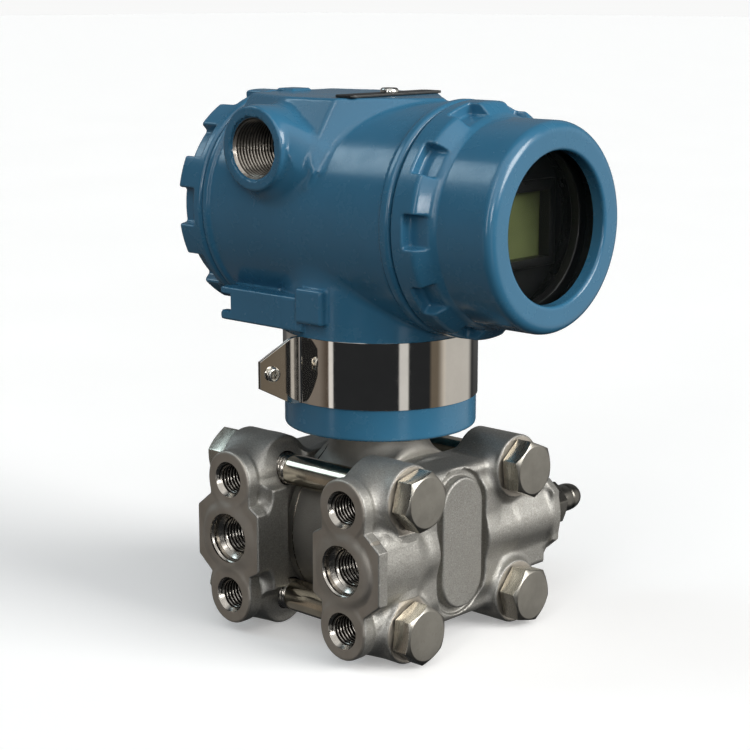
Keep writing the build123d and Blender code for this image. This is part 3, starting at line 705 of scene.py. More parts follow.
def pane(name, base, alpha, rough):
    m = Mat(name, base, 0.0, rough, Alpha=alpha, Specular_IOR_Level=0.4)
    m.roughness(m.ramp(m.noise(60, 3), 0.3, 0.7, rough, rough + 0.03))
    m.bump(m.noise(25, 2), 0.01)
    return m.m


M = {
    "enamel": enamel(),
    "cast": cast(),
    "blasted": steel("blasted_steel", (0.36, 0.345, 0.315, 1), 0.48, 0.64, 2200, 0.11, tone=0.08, dark=(0.34, 0.325, 0.30, 1)),
    "thread": steel("cut_thread", (0.47, 0.44, 0.395, 1), 0.16, 0.30, 900, 0.008, dark=(0.26, 0.23, 0.19, 1)),
    "port": port_thread(),
    "conduit": conduit_thread(),
    "alloy": steel("bare_alloy_thread", (0.50, 0.455, 0.40, 1), 0.28, 0.42, 900, 0.012, dark=(0.27, 0.24, 0.205, 1)),
    "bolt": steel("bolt_steel", (0.33, 0.315, 0.28, 1), 0.30, 0.42, 620, 0.010, dark=(0.25, 0.23, 0.195, 1)),
    "flat": steel("bolt_flats", (0.56, 0.53, 0.455, 1), 0.20, 0.36, stretch=(2500, 260, 260), bump=0.02),
    "shank": steel("bolt_shank", (0.60, 0.545, 0.44, 1), 0.12, 0.2, stretch=(60, 1500, 1500), bump=0.004, tone=0.2),
    "vent": steel("vent_steel", (0.20, 0.19, 0.17, 1), 0.24, 0.36, 500, 0.006, dark=(0.13, 0.12, 0.105, 1)),
    "foil": steel("thin_foil_steel", (0.60, 0.59, 0.56, 1), 0.12, 0.2, 500, 0.01),
    "band": steel("polished_sheet", (0.74, 0.70, 0.64, 1), 0.035, 0.085, 300, 0.002, tone=0.04),
    "plated": steel("plated_steel", (0.66, 0.65, 0.61, 1), 0.16, 0.28, 700, 0.01, dark=(0.42, 0.40, 0.36, 1)),
    "plate": steel("plate_steel", (0.10, 0.10, 0.098, 1), 0.36, 0.5, stretch=(2500, 80, 300), bump=0.006),
    "rubber": plastic("seal_rubber", (0.018, 0.018, 0.019, 1), 0.62, 900, 0.03),
    "glass": pane("window_pane", (0.006, 0.009, 0.008, 1), 0.06, 0.02),
    "black": plastic("black_anodised", (0.006, 0.0065, 0.0065, 1), 0.34, 700, 0.004, Specular_IOR_Level=0.35),
    # near-black finish given to the inner walls of the covers, compartments, neck bore and adjuster bosses; no lining
    # is modelled there
    "inner": plastic("near_black_inner_walls", (0.014, 0.016, 0.0155, 1), 0.24, 160, 0.004),
    "board": laminate(),
    "lcd": plastic("display_glass", (0.125, 0.150, 0.060, 1), 0.12, 300, 0.002, Coat_Weight=0.5, Coat_Roughness=0.05),
    "moulding": plastic("black_moulding", (0.016, 0.016, 0.017, 1), 0.42, 1500, 0.03),
    "brass": steel("terminal_brass", (0.70, 0.52, 0.24, 1), 0.2, 0.34, 700, 0.01, dark=(0.42, 0.30, 0.14, 1)),
}


def use(o, *keys):
    o.data.materials.clear()
    for k in keys:
        o.data.materials.append(M[k])
    return o


def zone(o, rule):
    """Give each face the slot that rule(centre in mm, normal) names."""
    me = o.data
    n = len(me.polygons)
    c = np.zeros(n * 3, np.float32)
    v = np.zeros(n * 3, np.float32)
    me.polygons.foreach_get("center", c)
    me.polygons.foreach_get("normal", v)
    old = np.zeros(n, np.int32)
    me.polygons.foreach_get("material_index", old)
    new = rule(c.reshape(-1, 3) * 1000 - OFF, v.reshape(-1, 3), old)
    me.polygons.foreach_set("material_index", new.astype(np.int32))
    me.update()


def tool(prof, axis, centre, seg=64, radius=None, mat=None):
    o = rod_object("tool", prof, axis, centre, seg, None, radius)
    if mat:
        use(o, mat)
    return o


# ================================================================= the castings
def flange_field(P):
    """High-side process flange, from the cell side at x = 17 outwards."""
    x, y, z = P
    a = slab(np.maximum(np.abs(y) - 19.5, np.abs(z) - 27.0), x, 10.0, 36.3, 3.2)
    b = slab(np.maximum(np.abs(y - 4.5) - 44.5, np.abs(z) - 18.0), x, 10.0, 36.3, 2.0)
    f = join(a, b, 5.0)
    # ridge over the passage
    ridge = cyl(P, "y", -47.4, 52.4, 30.0, 0.0, 9.5, 0.8)
    f = join(f, ridge, 2.2)
    # moat round the oval, and the oval itself
    moat = slab(slot(y, z, 0.2, 1.0, 12.8, 12.8), x, 34.8, 60.0, 0.6)
    f = cut(f, moat, 0.7)
    oval = slab(slot(y, z, 0.2, 1.0, 12.8, 10.2), x, 25.0, 38.2, 0.8)
    f = join(f, oval, 0.5)
    # bolt bosses, with webs to them
    w = slab(np.maximum(np.abs(y) - 29.0, np.abs(z) - 22.7), x, 16.0, 33.6, 2.4)
    f = join(f, w, 3.0)
    boss = None
    for sy in (-28.0, 28.0):
        for sz in (-22.7, 22.7):
            c = cyl(P, "x", 20.0, 39.5, sy, sz, 11.3, 0.8)
            boss = c if boss is None else np.minimum(boss, c)
    f = join(f, boss, 3.0)
    # port side: lobes round the adapter holes, wall of the port, block behind
    q = None
    for sz in (-20.65, 20.65):
        c = cyl(P, "y", -47.4, -22.0, 27.0, sz, 9.8, 0.6)
        q = c if q is None else np.minimum(q, c)
    f = join(f, q, 4.0)
    f = join(f, cyl(P, "y", -47.0, -15.0, 27.0, 0.0, 11.0, 2.0), 4.0)
    blk = box(P, (13.0, -46.0, -11.5), (40.0, -22.0, 11.5), 4.0)
    f = join(f, blk, 4.5)
    pts = [(10.7, 9.0), (17.2, 12.6), (17.2, 20.65), (36.8, 20.65), (36.8, 14.2), (43.3, 9.0),
           (43.3, -9.0), (36.8, -14.2), (36.8, -20.65), (17.2, -20.65), (17.2, -12.6), (10.7, -9.0)]
    d = poly(x, z, pts)
    for sz in (-20.65, 20.65):
        d = join(d, np.sqrt((x - 27.0) ** 2 + (z - sz) ** 2) - 9.8, 0.4)
    pad = slab(d, y, -47.4, -43.0, 0.75)
    f = join(f, pad, 1.3)
    # vent side
    f = join(f, cyl(P, "y", 30.0, 51.0, 27.0, 0.0, 11.0, 1.0), 3.0)
    oct_ = [(14.5, 9.0), (19.0, 13.0), (35.0, 13.0), (39.5, 9.0),
            (39.5, -9.0), (35.0, -13.0), (19.0, -13.0), (14.5, -9.0)]
    vp = slab(poly(x, z, oct_), y, 48.5, 52.5, 0.8)
    f = join(f, vp, 2.4)
    # rim round the cell seal, flat mating face, clearance for the cell
    f = join(f, cyl(P, "x", 17.0, 22.0, 0.0, 0.0, 27.9, 0.6), 2.0)
    cell = cyl(P, "x", -30.0, 17.0, 0.0, 0.0, 30.6, 0.0)
    f = np.maximum(f, -cell)
    back = np.where(y < -33.0, 13.0, 17.0) - x
    f = meet(f, back, 0.7)
    return f


def port_tools(s):
    """Cutters for one flange's threaded holes; s is its side."""
    X, out = 27.0 * s, []
    out.append(tool([(-50.0, 8.7), (-45.4, 8.7)], "y", (X, 0, 0), 96, mat="thread"))
    out.append(tool([(-48.0, 9.5), (-47.45, 9.25), (-46.9, 8.7), (-46.5, 8.0)], "y", (X, 0, 0), 96, mat="thread"))
    out.append(tool([(-46.0, 8.0), (-45.4, 8.0), (-44.2, 6.7), (-43.0, 5.8)], "y", (X, 0, 0), 96, mat="thread"))
    p, r = thread(6.86, 1.15, 1.411, -45.5, -30.4, taper=0.028)
    out.append(tool(p, "y", (X, 0, 0), 72, r, "port"))
    out.append(tool([(-31.0, 5.0), (-29.0, 3.2), (41.0, 3.2)], "y", (X, 0, 0), 48, mat="thread"))
    out.append(tool([(40.0, 6.8), (54.0, 6.8)], "y", (X, 0, 0), 64, mat="thread"))
    for sz in (-20.65, 20.65):
        out.append(tool([(-48.5, 6.7), (-47.4, 6.05), (-46.6, 5.3), (-46.0, 4.9)], "y", (X, 0, sz), 72, mat="thread"))
        p, r = thread(5.60, 0.86, 1.41, -48.0, -35.6)
        out.append(tool(p, "y", (X, 0, sz), 60, r, "port"))
        out.append(tool([(-36.0, 4.7), (-34.8, 4.7), (-33.2, 0.6), (-33.0, 0.0)], "y", (X, 0, sz), 36, mat="thread"))
    out.append(tool([(0.0, 3.2), (27.0 * s, 3.2)], "x", (0, 0, 0), 40, mat="thread"))
    out.append(tool([(16.0 * s, 22.5), (18.0 * s, 22.5)], "x", (0, 0, 0), 96, mat="thread"))
    for sy in (-28.0, 28.0):
        for sz in (-22.7, 22.7):
            out.append(tool([(8.0 * s, 5.9), (45.0 * s, 5.9)], "x", (0, sy, sz), 40, mat="thread"))
    for o in out:
        fix(o)
    return out


def flange(name, s, node):
    V, Q = net(flange_field, (11.0, -49.2, -36.0), (45.2, 54.2, 36.0), 0.62)
    if s < 0:
        V = V * np.array([-1, 1, 1])
        Q = Q[:, ::-1]
    o = use(add(name, V, Q, None), "cast", "thread", "port")
    boolean(o, port_tools(s))
    g = turned("groove", [(16.5 * s, 23.6), (16.5 * s, 26.6), (19.2 * s, 26.6), (19.2 * s, 23.6)], "x", (0, 0, 0), 96)
    use(g, "thread")
    boolean(o, [g])

    def side(P):
        return flange_field([P[0] * s, P[1], P[2]])
    true_normals(o, side)
    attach(o, "process")
    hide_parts(node)
    return o


def cell_field(P):
    disc = cyl(P, "x", -17.0, 17.0, 0.0, 0.0, 30.2, 1.0)
    neck = cyl(P, "z", 0.0, 37.5, 0.0, 0.0, 16.7, 0.8)
    f = join(disc, neck, 5.0)
    f = join(f, cyl(P, "z", 30.0, 61.0, 0.0, 0.0, 15.0, 0.6), 0.6)
    return f


def sensor():
    V, Q = net(cell_field, (-18.5, -32.0, -32.0), (18.5, 32.0, 62.5), 0.6)
    o = use(add("sensor_cell_casting", V, Q, None), "blasted", "thread", "foil")
    out = []
    for s in (-1, 1):
        out.append(tool([(16.2 * s, 22.0), (19.0 * s, 22.0)], "x", (0, 0, 0), 96, mat="thread"))
        out.append(tool([(8.0 * s, 1.5), (16.5 * s, 1.5)], "x", (0, 0, 0), 24, mat="thread"))
    out.append(tool([(-8.2, 17.1), (8.2, 17.1)], "x", (0, 0, 0), 64, mat="thread"))
    out.append(tool([(15.0, 9.0), (63.0, 9.0)], "z", (0, 0, 0), 64, mat="thread"))
    for s in (-1, 1):
        out.append(turned("g0", [(s * 13.3, 29.75), (s * 13.3, 31.5), (s * 13.9, 31.5), (s * 13.9, 29.75)], "x", (0, 0, 0), 160))
    out.append(turned("g1", [(45.8, 13.0), (45.8, 17.0), (48.2, 17.0), (48.2, 13.0)], "z", (0, 0, 0), 96))
    out.append(turned("g2", [(58.2, 13.8), (58.2, 17.0), (59.6, 17.0), (59.6, 13.8)], "z", (0, 0, 0), 96))
    for t in out:
        fix(t)
        if not t.data.materials:
            use(t, "thread")
    boolean(o, out)
    true_normals(o, cell_field)
    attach(o, "process")
    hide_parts("sensor_cell")


# ------------------------------------------------------------------- the head
TOP_PLAN = [(28.0, -1.0), (4.2, -25.3), (-18.0, -27.4), (-42.5, -20.0),
            (-42.5, 20.0), (-18.0, 27.4), (4.2, 25.3), (28.0, 1.0)]
LOW_PLAN = [(34.0, -1.0), (2.7, -32.9), (-19.5, -34.4), (-46.0, -27.0),
            (-46.0, 27.0), (-19.5, 34.4), (2.7, 32.9), (34.0, 1.0)]
SIDES = []
for i in range(8):
    a, b = np.array([*TOP_PLAN[i], 150.4]), np.array([*TOP_PLAN[(i + 1) % 8], 150.4])
    c = (np.array([*LOW_PLAN[i], 138.0]) + np.array([*LOW_PLAN[(i + 1) % 8], 138.0])) / 2
    nrm = np.cross(b - a, c - a)
    nrm /= np.linalg.norm(nrm)
    if np.dot(nrm, a - np.array([-10, 0, 140.0])) < 0:
        nrm = -nrm
    SIDES.append((nrm, float(np.dot(nrm, a))))


def housing_field(P):
    x, y, z = P
    f = cyl(P, "x", -48.1, 38.3, 0.0, AXIS_Z, 37.8, 0.5)
    f = join(f, cyl(P, "z", 37.9, 100.0, 0.0, 0.0, 33.3, 1.2), 1.6)
    for x0, x1 in ((-48.1, -45.1), (34.6, 38.4)):
        f = join(f, cyl(P, "x", x0, x1, 0.0, AXIS_Z, 38.9, 1.2), 1.0)
    # block on top
    prof = [(-49, 156), (-49, 138), (-35, 138), (-31.5, 127), (-19.1, 119.65), (-6, 118.8), (1, 121.6), (4.5, 127),
            (36, 127), (36, 156)]
    b = z - 150.4
    for i, (n, d) in enumerate(SIDES):
        b = meet(b, n[0] * x + n[1] * y + n[2] * z - d, 1.0 if i else 1.0)
    b = meet(b, poly(x, z, prof), 1.0)
    b = meet(b, np.abs(y) - 36.5, 1.2)
    ay = np.abs(y)
    t = np.clip(41.4 - ay, 0.0, 18.0)
    pod = 0.58 * (np.sqrt((x + 19.1 - 1.1 * t) ** 2 + (z - 133.8 + 0.34 * t) ** 2) - 14.1 - 0.42 * t)
    flank = 0.6755 * x + 0.6607 * ay + 0.3277 * z - 68.70
    pod = meet(pod, np.maximum(flank, ay - 41.2), 3.0)
    pod = meet(pod, 0.482 * x + 0.876 * z - 122.2, 3.0)
    b = join(meet(b, flank, 1.0), pod, 1.2)
    boss = np.minimum(cyl(P, "y", -42.0, 0.0, -19.1, 133.8, 14.15, 0.9),
                      cyl(P, "y", 0.0, 42.0, -19.1, 133.8, 14.15, 0.9))
    b = join(b, boss, 1.4)
    f = join(f, b, 1.8)
    # level top, clear of the swinging plate
    f = np.maximum(f, z - 150.36 - np.clip(x - 32.0, 0, 3) - np.clip(-37.0 - x, 0, 3))
    for s in (-1, 1):
        f = cut(f, cyl(P, "y", s * 41.0, s * 46.0, -19.1, 133.8, 10.6, 0.3), 0.5)
    # side web with its notch, shelf and pad
    w = box(P, (-44.0, -34.5, 73.0), (-4.0, -31.0, 84.5), 0.7)
    w = join(w, box(P, (-44.0, -32.5, 80.5), (-4.0, -20.0, 84.5), 0.5), 0.5)
    w = join(w, box(P, (-14.0, -34.5, 73.0), (-4.0, -20.0, 84.5), 0.7), 0.4)
    w = cut(w, box(P, (-45.5, -36.0, 76.2), (-39.0, -30.0, 82.0), 0.3), 0.5)
    f = join(f, w, 1.0)
    f = join(f, box(P, (-6.0, -36.0, 76.4), (6.4, -26.0, 88.2), 0.9), 0.6)
    f = join(f, box(P, (-46.0, -4.5, 144.0), (-37.5, 4.5, 151.3), 0.7), 0.6)
    return f


def housing():
    V, Q = net(housing_field, (-50.0, -44.0, 36.0), (40.5, 44.0, 153.0), 0.88)
    o = use(add("electronics_head_casting", V, Q, None), "enamel", "alloy", "inner", "conduit")
    H = AXIS_Z
    out = []
    # rear compartment, with the cover's thread near its mouth
    def inside(a, th, q):
        near = np.minimum(np.abs(np.degrees(th) - 44.0), np.abs(np.degrees(th) - 136.0))
        k = np.clip((36.0 - near) / 14.0, 0, 1) if -29.7 < a < -9.3 else np.zeros(len(th))
        return q - 7.0 * k * k * (3 - 2 * k)
    out.append(tool([(-30.0, 32.5), (-29.6, 32.5), (-9.4, 32.5), (-9.0, 32.5)], "x", (0, 0, H), 128, inside, "inner"))
    p, r = thread(33.3, 0.8, 2.0, -48.4, -29.9, fade1=-1.5)
    out.append(tool(p, "x", (0, 0, H), 128, r, "alloy"))
    out.append(tool([(-49.0, 34.0), (-47.9, 34.0), (-46.4, 32.4)], "x", (0, 0, H), 128, mat="alloy"))
    # front compartment
    out.append(tool([(-3.0, 32.5), (22.0, 32.5)], "x", (0, 0, H), 128, mat="inner"))
    p, r = thread(33.3, 0.8, 2.0, 21.9, 38.7, fade0=-1.5)
    out.append(tool(p, "x", (0, 0, H), 128, r, "alloy"))
    out.append(tool([(36.8, 32.4), (38.2, 34.0), (39.4, 34.0)], "x", (0, 0, H), 128, mat="alloy"))
    # neck
    out.append(tool([(36.9, 15.9), (37.9, 15.9), (38.8, 15.05), (58.0, 15.05), (60.0, 15.05)], "z", (0, 0, 0), 96, mat="alloy"))
    out.append(tool([(58.0, 26.0), (74.0, 26.0)], "z", (0, 0, 0), 96, mat="inner"))
    out.append(tool([(73.0, 9.0), (84.0, 9.0)], "z", (6.0, 0, 0), 48, mat="inner"))
    # conduit entries
    for s in (-1, 1):
        out.append(tool([(43.0 * s, 10.7), (41.0 * s, 10.15), (40.0 * s, 9.3), (39.5 * s, 9.0)], "y", (-19.1, 0, 133.8), 96, mat="alloy"))
        lo, hi = sorted((17.0 * s, 41.6 * s))
        p, r = thread(10.08, 0.86, 1.4, lo, hi)
        out.append(tool(p, "y", (-19.1, 0, 133.8), 96, r, "conduit"))
    out.append(tool([(-10.0, 5.0), (-2.0, 5.0)], "x", (0, -18.0, H + 6.0), 32, mat="inner"))
    for yy in (-18.0, 18.0):
        out.append(tool([(133.0, 2.05), (151.5, 2.05)], "z", (4.0, yy, 0), 32, mat="alloy"))
        out.append(tool([(148.6, 3.3), (150.0, 3.3), (150.6, 3.7), (151.5, 3.7)], "z", (4.0, yy, 0), 40, mat="alloy"))
    out.append(tool([(146.3, 1.5), (151.4, 1.5)], "z", (4.0, 0, 0), 24, mat="alloy"))
    for t in out:
        fix(t)
    boolean(o, out)
    # round bosses that carry the adjusters inside
    b = []
    for yy in (-18.0, 18.0):
        b.append(turned("boss", [(139.0, 2.05), (139.0, 4.6), (139.4, 5.0), (146.9, 5.0), (146.9, 2.05)], "z", (4.0, yy, 0), 48))
        use(b[-1], "inner")
    true_normals(o, housing_field)
    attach(o, "head")
    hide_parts("electronics_housing")
    for i, t in enumerate(b):
        t.name = ("zero_boss", "span_boss")[i]
        sharp(t)
        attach(t, "head")
        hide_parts("electronics_housing")


def lugs(P, x0, x1, rad, floor, first, rear=False, half=9.6):
    """Castellated ring: notches between x0 and x1 down to the floor radius."""
    x, y, z = P
    r = np.sqrt(y ** 2 + (z - AXIS_Z) ** 2)
    th = np.degrees(np.arctan2(z - AXIS_Z, y))
    ph = (th - first + 18.0) % 36.0 - 18.0          # 0 in the middle of a notch
    side = r * np.sin(np.radians(half - np.abs(ph)))  # > 0 inside the notch
    notch = meet(meet(-side, floor - r, 0.9), (x - x1) if rear else (x0 - x), 0.9)
    return notch


def front_field(P):
    x, y, z = P
    r = np.sqrt(y ** 2 + (z - AXIS_Z) ** 2)
    f = cyl(P, "x", 39.7, 54.6, 0.0, AXIS_Z, 38.8, 0.8)
    f = meet(f, 0.70711 * (x + r) - 61.85, 0.9)
    f = cut(f, lugs(P, 44.6, 56.0, 38.8, 34.9, 180.0, half=8.2), 0.7)
    f = join(f, cyl(P, "x", 45.0, 76.0, 0.0, AXIS_Z, 33.8, 3.6), 1.5)
    hole = cyl(P, "x", 60.0, 90.0, 0.0, AXIS_Z, 24.5, 0.0)
    f = cut(f, hole, 1.2)
    return f


def front():
    V, Q = net(front_field, (37.5, -40.5, 71.0), (77.5, 40.5, 152.2), 0.58)
    o = use(add("window_cover_shell", V, Q, None), "enamel", "alloy", "inner")
    H = AXIS_Z
    p, r = thread(32.42, 0.85, 2.0, 28.4, 35.6, fade0=1.2, fade1=1.2)
    neck = tool(p + [(35.7, 32.42), (35.8, 30.6), (38.0, 30.6), (38.01, 32.42), (40.2, 32.42)], "x", (0, 0, H), 128,
                lambda a, th, q: r(a, th, q) if a < 35.65 else np.full(len(th), q), "alloy")
    boolean(o, [neck], "UNION")
    core = tool([(27.0, 30.4), (28.4, 30.0), (29.0, 29.4), (71.4, 29.4)], "x", (0, 0, H), 128, mat="inner")
    boolean(o, [core])
    true_normals(o, front_field)
    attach(o, "window_cover")
    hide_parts("front_cover")


def rear_field(P):
    x, y, z = P
    f = cyl(P, "x", -60.7, -48.7, 0.0, AXIS_Z, 38.8, 1.5)
    f = cut(f, lugs(P, -61.2, -52.5, 38.8, 34.9, 0.0, True), 0.7)
    # shallow turned step on the end
    r = np.sqrt(y ** 2 + (z - AXIS_Z) ** 2)
    f = cut(f, meet(r - 27.0, x + 60.0, 0.4), 0.5)
    return f


def rear():
    V, Q = net(rear_field, (-62.2, -40.5, 71.0), (-47.2, 40.5, 152.2), 0.6)
    o = use(add("back_cover_shell", V, Q, None), "enamel", "alloy", "inner")
    H = AXIS_Z
    p, r = thread(32.42, 0.85, 2.0, -45.3, -38.2, fade0=1.2, fade1=1.2)
    neck = tool([(-50.0, 32.42), (-47.71, 32.42), (-47.7, 30.6), (-45.5, 30.6), (-45.4, 32.42)] + p, "x", (0, 0, H), 128,
                lambda a, th, q: r(a, th, q) if a > -45.35 else np.full(len(th), q), "alloy")
    boolean(o, [neck], "UNION")
    core = tool([(-57.2, 28.8), (-38.8, 28.8), (-38.2, 29.4), (-37.0, 29.8)], "x", (0, 0, H), 128, mat="inner")
    boolean(o, [core])
    true_normals(o, rear_field)
    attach(o, "back_cover")
    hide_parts("rear_cover")


# ------------------------------------------------------------ small hardware
def lathe(name, prof, axis, centre, body, node, mats, seg=72, radius=None, deg=30):
    o = rod_object(name, prof, axis, centre, seg, None, radius)
    use(o, *mats)
    sharp(o, deg)
    if body:
        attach(o, body)
        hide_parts(node)
    return o


def weld(name, parts):
    """One object out of several; their material slots are kept."""
    bm = bmesh.new()
    mats, out = [], []
    for p in parts:
        idx = []
        for m in p.data.materials:
            if m not in mats:
                mats.append(m)
            idx.append(mats.index(m))
        n = len(bm.faces)
        bm.from_mesh(p.data)
        bm.faces.ensure_lookup_table()
        for f in bm.faces[n:]:
            f.material_index = idx[f.material_index] if idx else 0
    me = bpy.data.meshes.new(name)
    bm.to_mesh(me)
    bm.free()
    for m in mats:
        me.materials.append(m)
    o = bpy.data.objects.new(name, me)
    bpy.context.scene.collection.objects.link(o)
    for p in parts:
        d = p.data
        bpy.data.objects.remove(p)
        bpy.data.meshes.remove(d)
    return o


def round_arc(a0, r0, a1, r1, n=5, convex=True):
    """Quarter round from (a0, r0) to (a1, r1) on a profile."""
    out = []
    for i in range(n + 1):
        t = math.pi / 2 * i / n
        if convex:
            out.append((a0 + (a1 - a0) * math.sin(t), r1 + (r0 - r1) * math.cos(t)))
        else:
            out.append((a0 + (a1 - a0) * (1 - math.cos(t)), r0 + (r1 - r0) * math.sin(t)))
    return out


def hex_head(name, x0, x1, y, z, turn, bevelled=0.12, face=8.35):
    """Bolt head: six flats, turned chamfer and a flat round face."""
    o = hexagon(name, 17.86, x0, x1, "x", (0, y, z), turn, None, True, False, face, 28, 96)
    # loops of the flats, chamfer and face
    me = o.data
    use(o, "flat", "bolt", "bolt")

    def rule(c, n, old):
        out = np.zeros(len(c), int)
        s = np.sign(x1 - x0)
        out[np.abs(n[:, 0]) > 0.2] = 1
        out[(n[:, 0] * s > 0.99)] = 2
        return out
    zone(o, rule)
    return o


def bolts():
    parts = []
    for sy in (-1, 1):
        for sz in (-1, 1):
            y, z = sy * 28.0, sz * 22.7
            turn = 12 * sy - 5 * sz
            h = hex_head("h", 40.1, 46.98, y, z, turn)
            bevel(h, 0.16, 2, 24)
            parts.append(h)
            w = rod_object("w", [(39.52, 8.3), (39.55, 8.55), (39.75, 8.75), (40.05, 8.75), (40.2, 8.6), (40.4, 8.4)], "x", (0, y, z), 72)
            parts.append(use(w, "bolt"))
            p, r = thread(5.48, 0.78, 1.27, -52.0, -38.0, fade0=-0.8, fade1=0.0)
            rr = thread(5.48, 0.86, 1.27, -26.4, -14.2, fade1=1.6)
            prof = [(-52.6, 4.3), (-52.3, 4.6)] + p + [(-37.9, 4.7), (-26.5, 4.7)] + rr[0] + [(-14.1, 5.48), (39.7, 5.48)]

            def rad(a, th, q, r=r, rr=rr):
                if -52.0 <= a <= -38.0:
                    return r(a, th, q)
                if -26.4 <= a <= -14.2:
                    return rr[1](a, th, q)
                return np.full(len(th), q)
            s = rod_object("s", prof, "x", (0, y, z), 56, None, rad)
            use(s, "shank", "thread")
            zone(s, lambda c, n, old: (c[:, 0] < -15.2).astype(int))
            sharp(s, 28)
            parts.append(s)
    for p in parts:
        sharp(p, 28)
    o = weld("flange_bolt_set", parts)
    sharp(o, 28)
    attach(o, "process")
    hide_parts("flange_bolts")


def nuts():
    parts = []
    for sy in (-1, 1):
        for sz in (-1, 1):
            y, z = sy * 28.0, sz * 22.7
            h = hexagon("n", 17.86, -39.52, -49.0, "x", (0, y, z), 18 * sz + 7 * sy, None, True, True, 8.45, 28, 96)
            use(h, "flat", "bolt", "thread")
            zone(h, lambda c, n, old: (np.abs(n[:, 0]) > 0.2).astype(int))
            hole = tool([(-38.0, 5.52), (-49.6, 5.52)], "x", (0, y, z), 56, mat="thread")
            cone = tool([(-48.2, 5.5), (-49.3, 6.5)], "x", (0, y, z), 56, mat="thread")
            fix(hole)
            fix(cone)
            boolean(h, [hole, cone])
            bevel(h, 0.16, 2, 24)
            parts.append(h)
    o = weld("flange_nut_set", parts)
    sharp(o, 28)
    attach(o, "process")
    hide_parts("flange_nuts")


def vents():
    for s, tag in ((1, "high"), (-1, "low")):
        X = 27.0 * s
        h = hexagon("h", 14.9, 53.6, 63.98, "y", (X, 0, 0), 105, None, True, True, 6.9, 30, 96)
        use(h, "vent", "vent")
        col = rod_object("c", [(52.56, 6.4), (52.7, 6.7), (53.5, 6.7), (53.8, 6.5)], "y", (X, 0, 0), 72)
        use(col, "vent")
        p, r = thread(6.72, 0.9, 1.411, 40.2, 52.2, fade0=-1.0, fade1=0.0)
        b = rod_object("b", p + [(52.3, 5.9), (52.9, 5.9)], "y", (X, 0, 0), 56, None,
                       lambda a, th, q: r(a, th, q) if a <= 52.2 else np.full(len(th), q))
        use(b, "thread")
        for part in (h, col, b):
            hole = tool([(40.6, 3.55), (66.0, 3.55)], "y", (X, 0, 0), 40, mat="thread")
            fix(hole)
            boolean(part, [hole])
            low = tool([(38.0, 1.6), (41.5, 1.6)], "y", (X, 0, 0), 24, mat="thread")
            fix(low)
            if part is b:
                boolean(part, [low])
            else:
                bpy.data.objects.remove(low)
        bevel(h, 0.15, 2, 24)
        o = weld("vent_seat_body_" + tag, [h, col, b])
        sharp(o, 28)
        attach(o, "process")
        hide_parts("vent_seat_" + tag)
        prof = [(40.9, 1.2), (43.5, 3.2), (43.6, 3.5), (50.4, 3.5), (50.5, 2.4), (52.5, 2.4), (52.6, 3.5),
                (64.6, 3.5), (64.62, 4.5), (64.8, 4.75), (65.2, 4.85), (68.0, 5.08), (70.6, 5.08), (70.9, 4.9), (71.3, 4.9),
                (71.7, 5.05), (72.1, 5.08)]
        prof += [(72.1 + 5.88 * math.sin(t), 1.55 + 3.5 * math.cos(t) ** 0.8) for t in np.linspace(0.12, 1.5, 12)]
        prof += [(77.9, 1.5), (69.0, 1.5), (68.6, 0.0)]
        o = rod_object("vent_stem_valve_" + tag, [(40.88, 0.0)] + prof, "y", (X, 0, 0), 64)
        use(o, "vent")
        sharp(o, 34)
        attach(o, "vent_" + tag)
        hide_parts("vent_stem_" + tag)


def move(o, m):
    """Mesh built round its own origin in mm, put in place by a 4 x 4 in mm."""
    me = o.data
    for v in me.vertices:
        p = m @ Vector(((v.co.x * 1000 - OFF[0]), (v.co.y * 1000 - OFF[1]), (v.co.z * 1000 - OFF[2])))
        v.co = ((p.x + OFF[0]) / 1000, (p.y + OFF[1]) / 1000, (p.z + OFF[2]) / 1000)
    me.update()


def pan_head(name, r, h, cross, depth, mat="plated"):
    """Pan head standing on z = 0 round the origin, with a cross recess."""
    prof = [(0.0, r * 0.97), (0.12, r)]
    prof += [(0.12 + (h - 0.12) * math.sin(t), r * (1 - 0.32 * (1 - math.cos(t))) if t < 1.0 else r * (1 - 0.32 * (1 - math.cos(1.0))) * math.cos((t - 1.0) / 0.571 * 1.1))
             for t in np.linspace(0.15, 1.571, 9)]
    o = rod_object(name, prof, "z", (0, 0, 0), 64)
    use(o, mat)
    w = cross * 0.25
    for ang in (0, 90):
        c = rod_object("t", [(h - depth, cross * 0.30), (h + 0.6, cross * 0.62)], "z", (0, 0, 0), 4)
        for v in c.data.vertices:
            x = v.co.x * 1000 - OFF[0]
            y = v.co.y * 1000 - OFF[1]
            a = math.radians(45)
            x, y = x * math.cos(a) - y * math.sin(a), x * math.sin(a) + y * math.cos(a)
            x, y = x * 1.35, y * 0.42
            a = math.radians(ang)
            x, y = x * math.cos(a) - y * math.sin(a), x * math.sin(a) + y * math.cos(a)
            v.co.x, v.co.y = (x + OFF[0]) / 1000, (y + OFF[1]) / 1000
        use(c, mat)
        boolean(o, [c])
    sharp(o, 30)
    return o


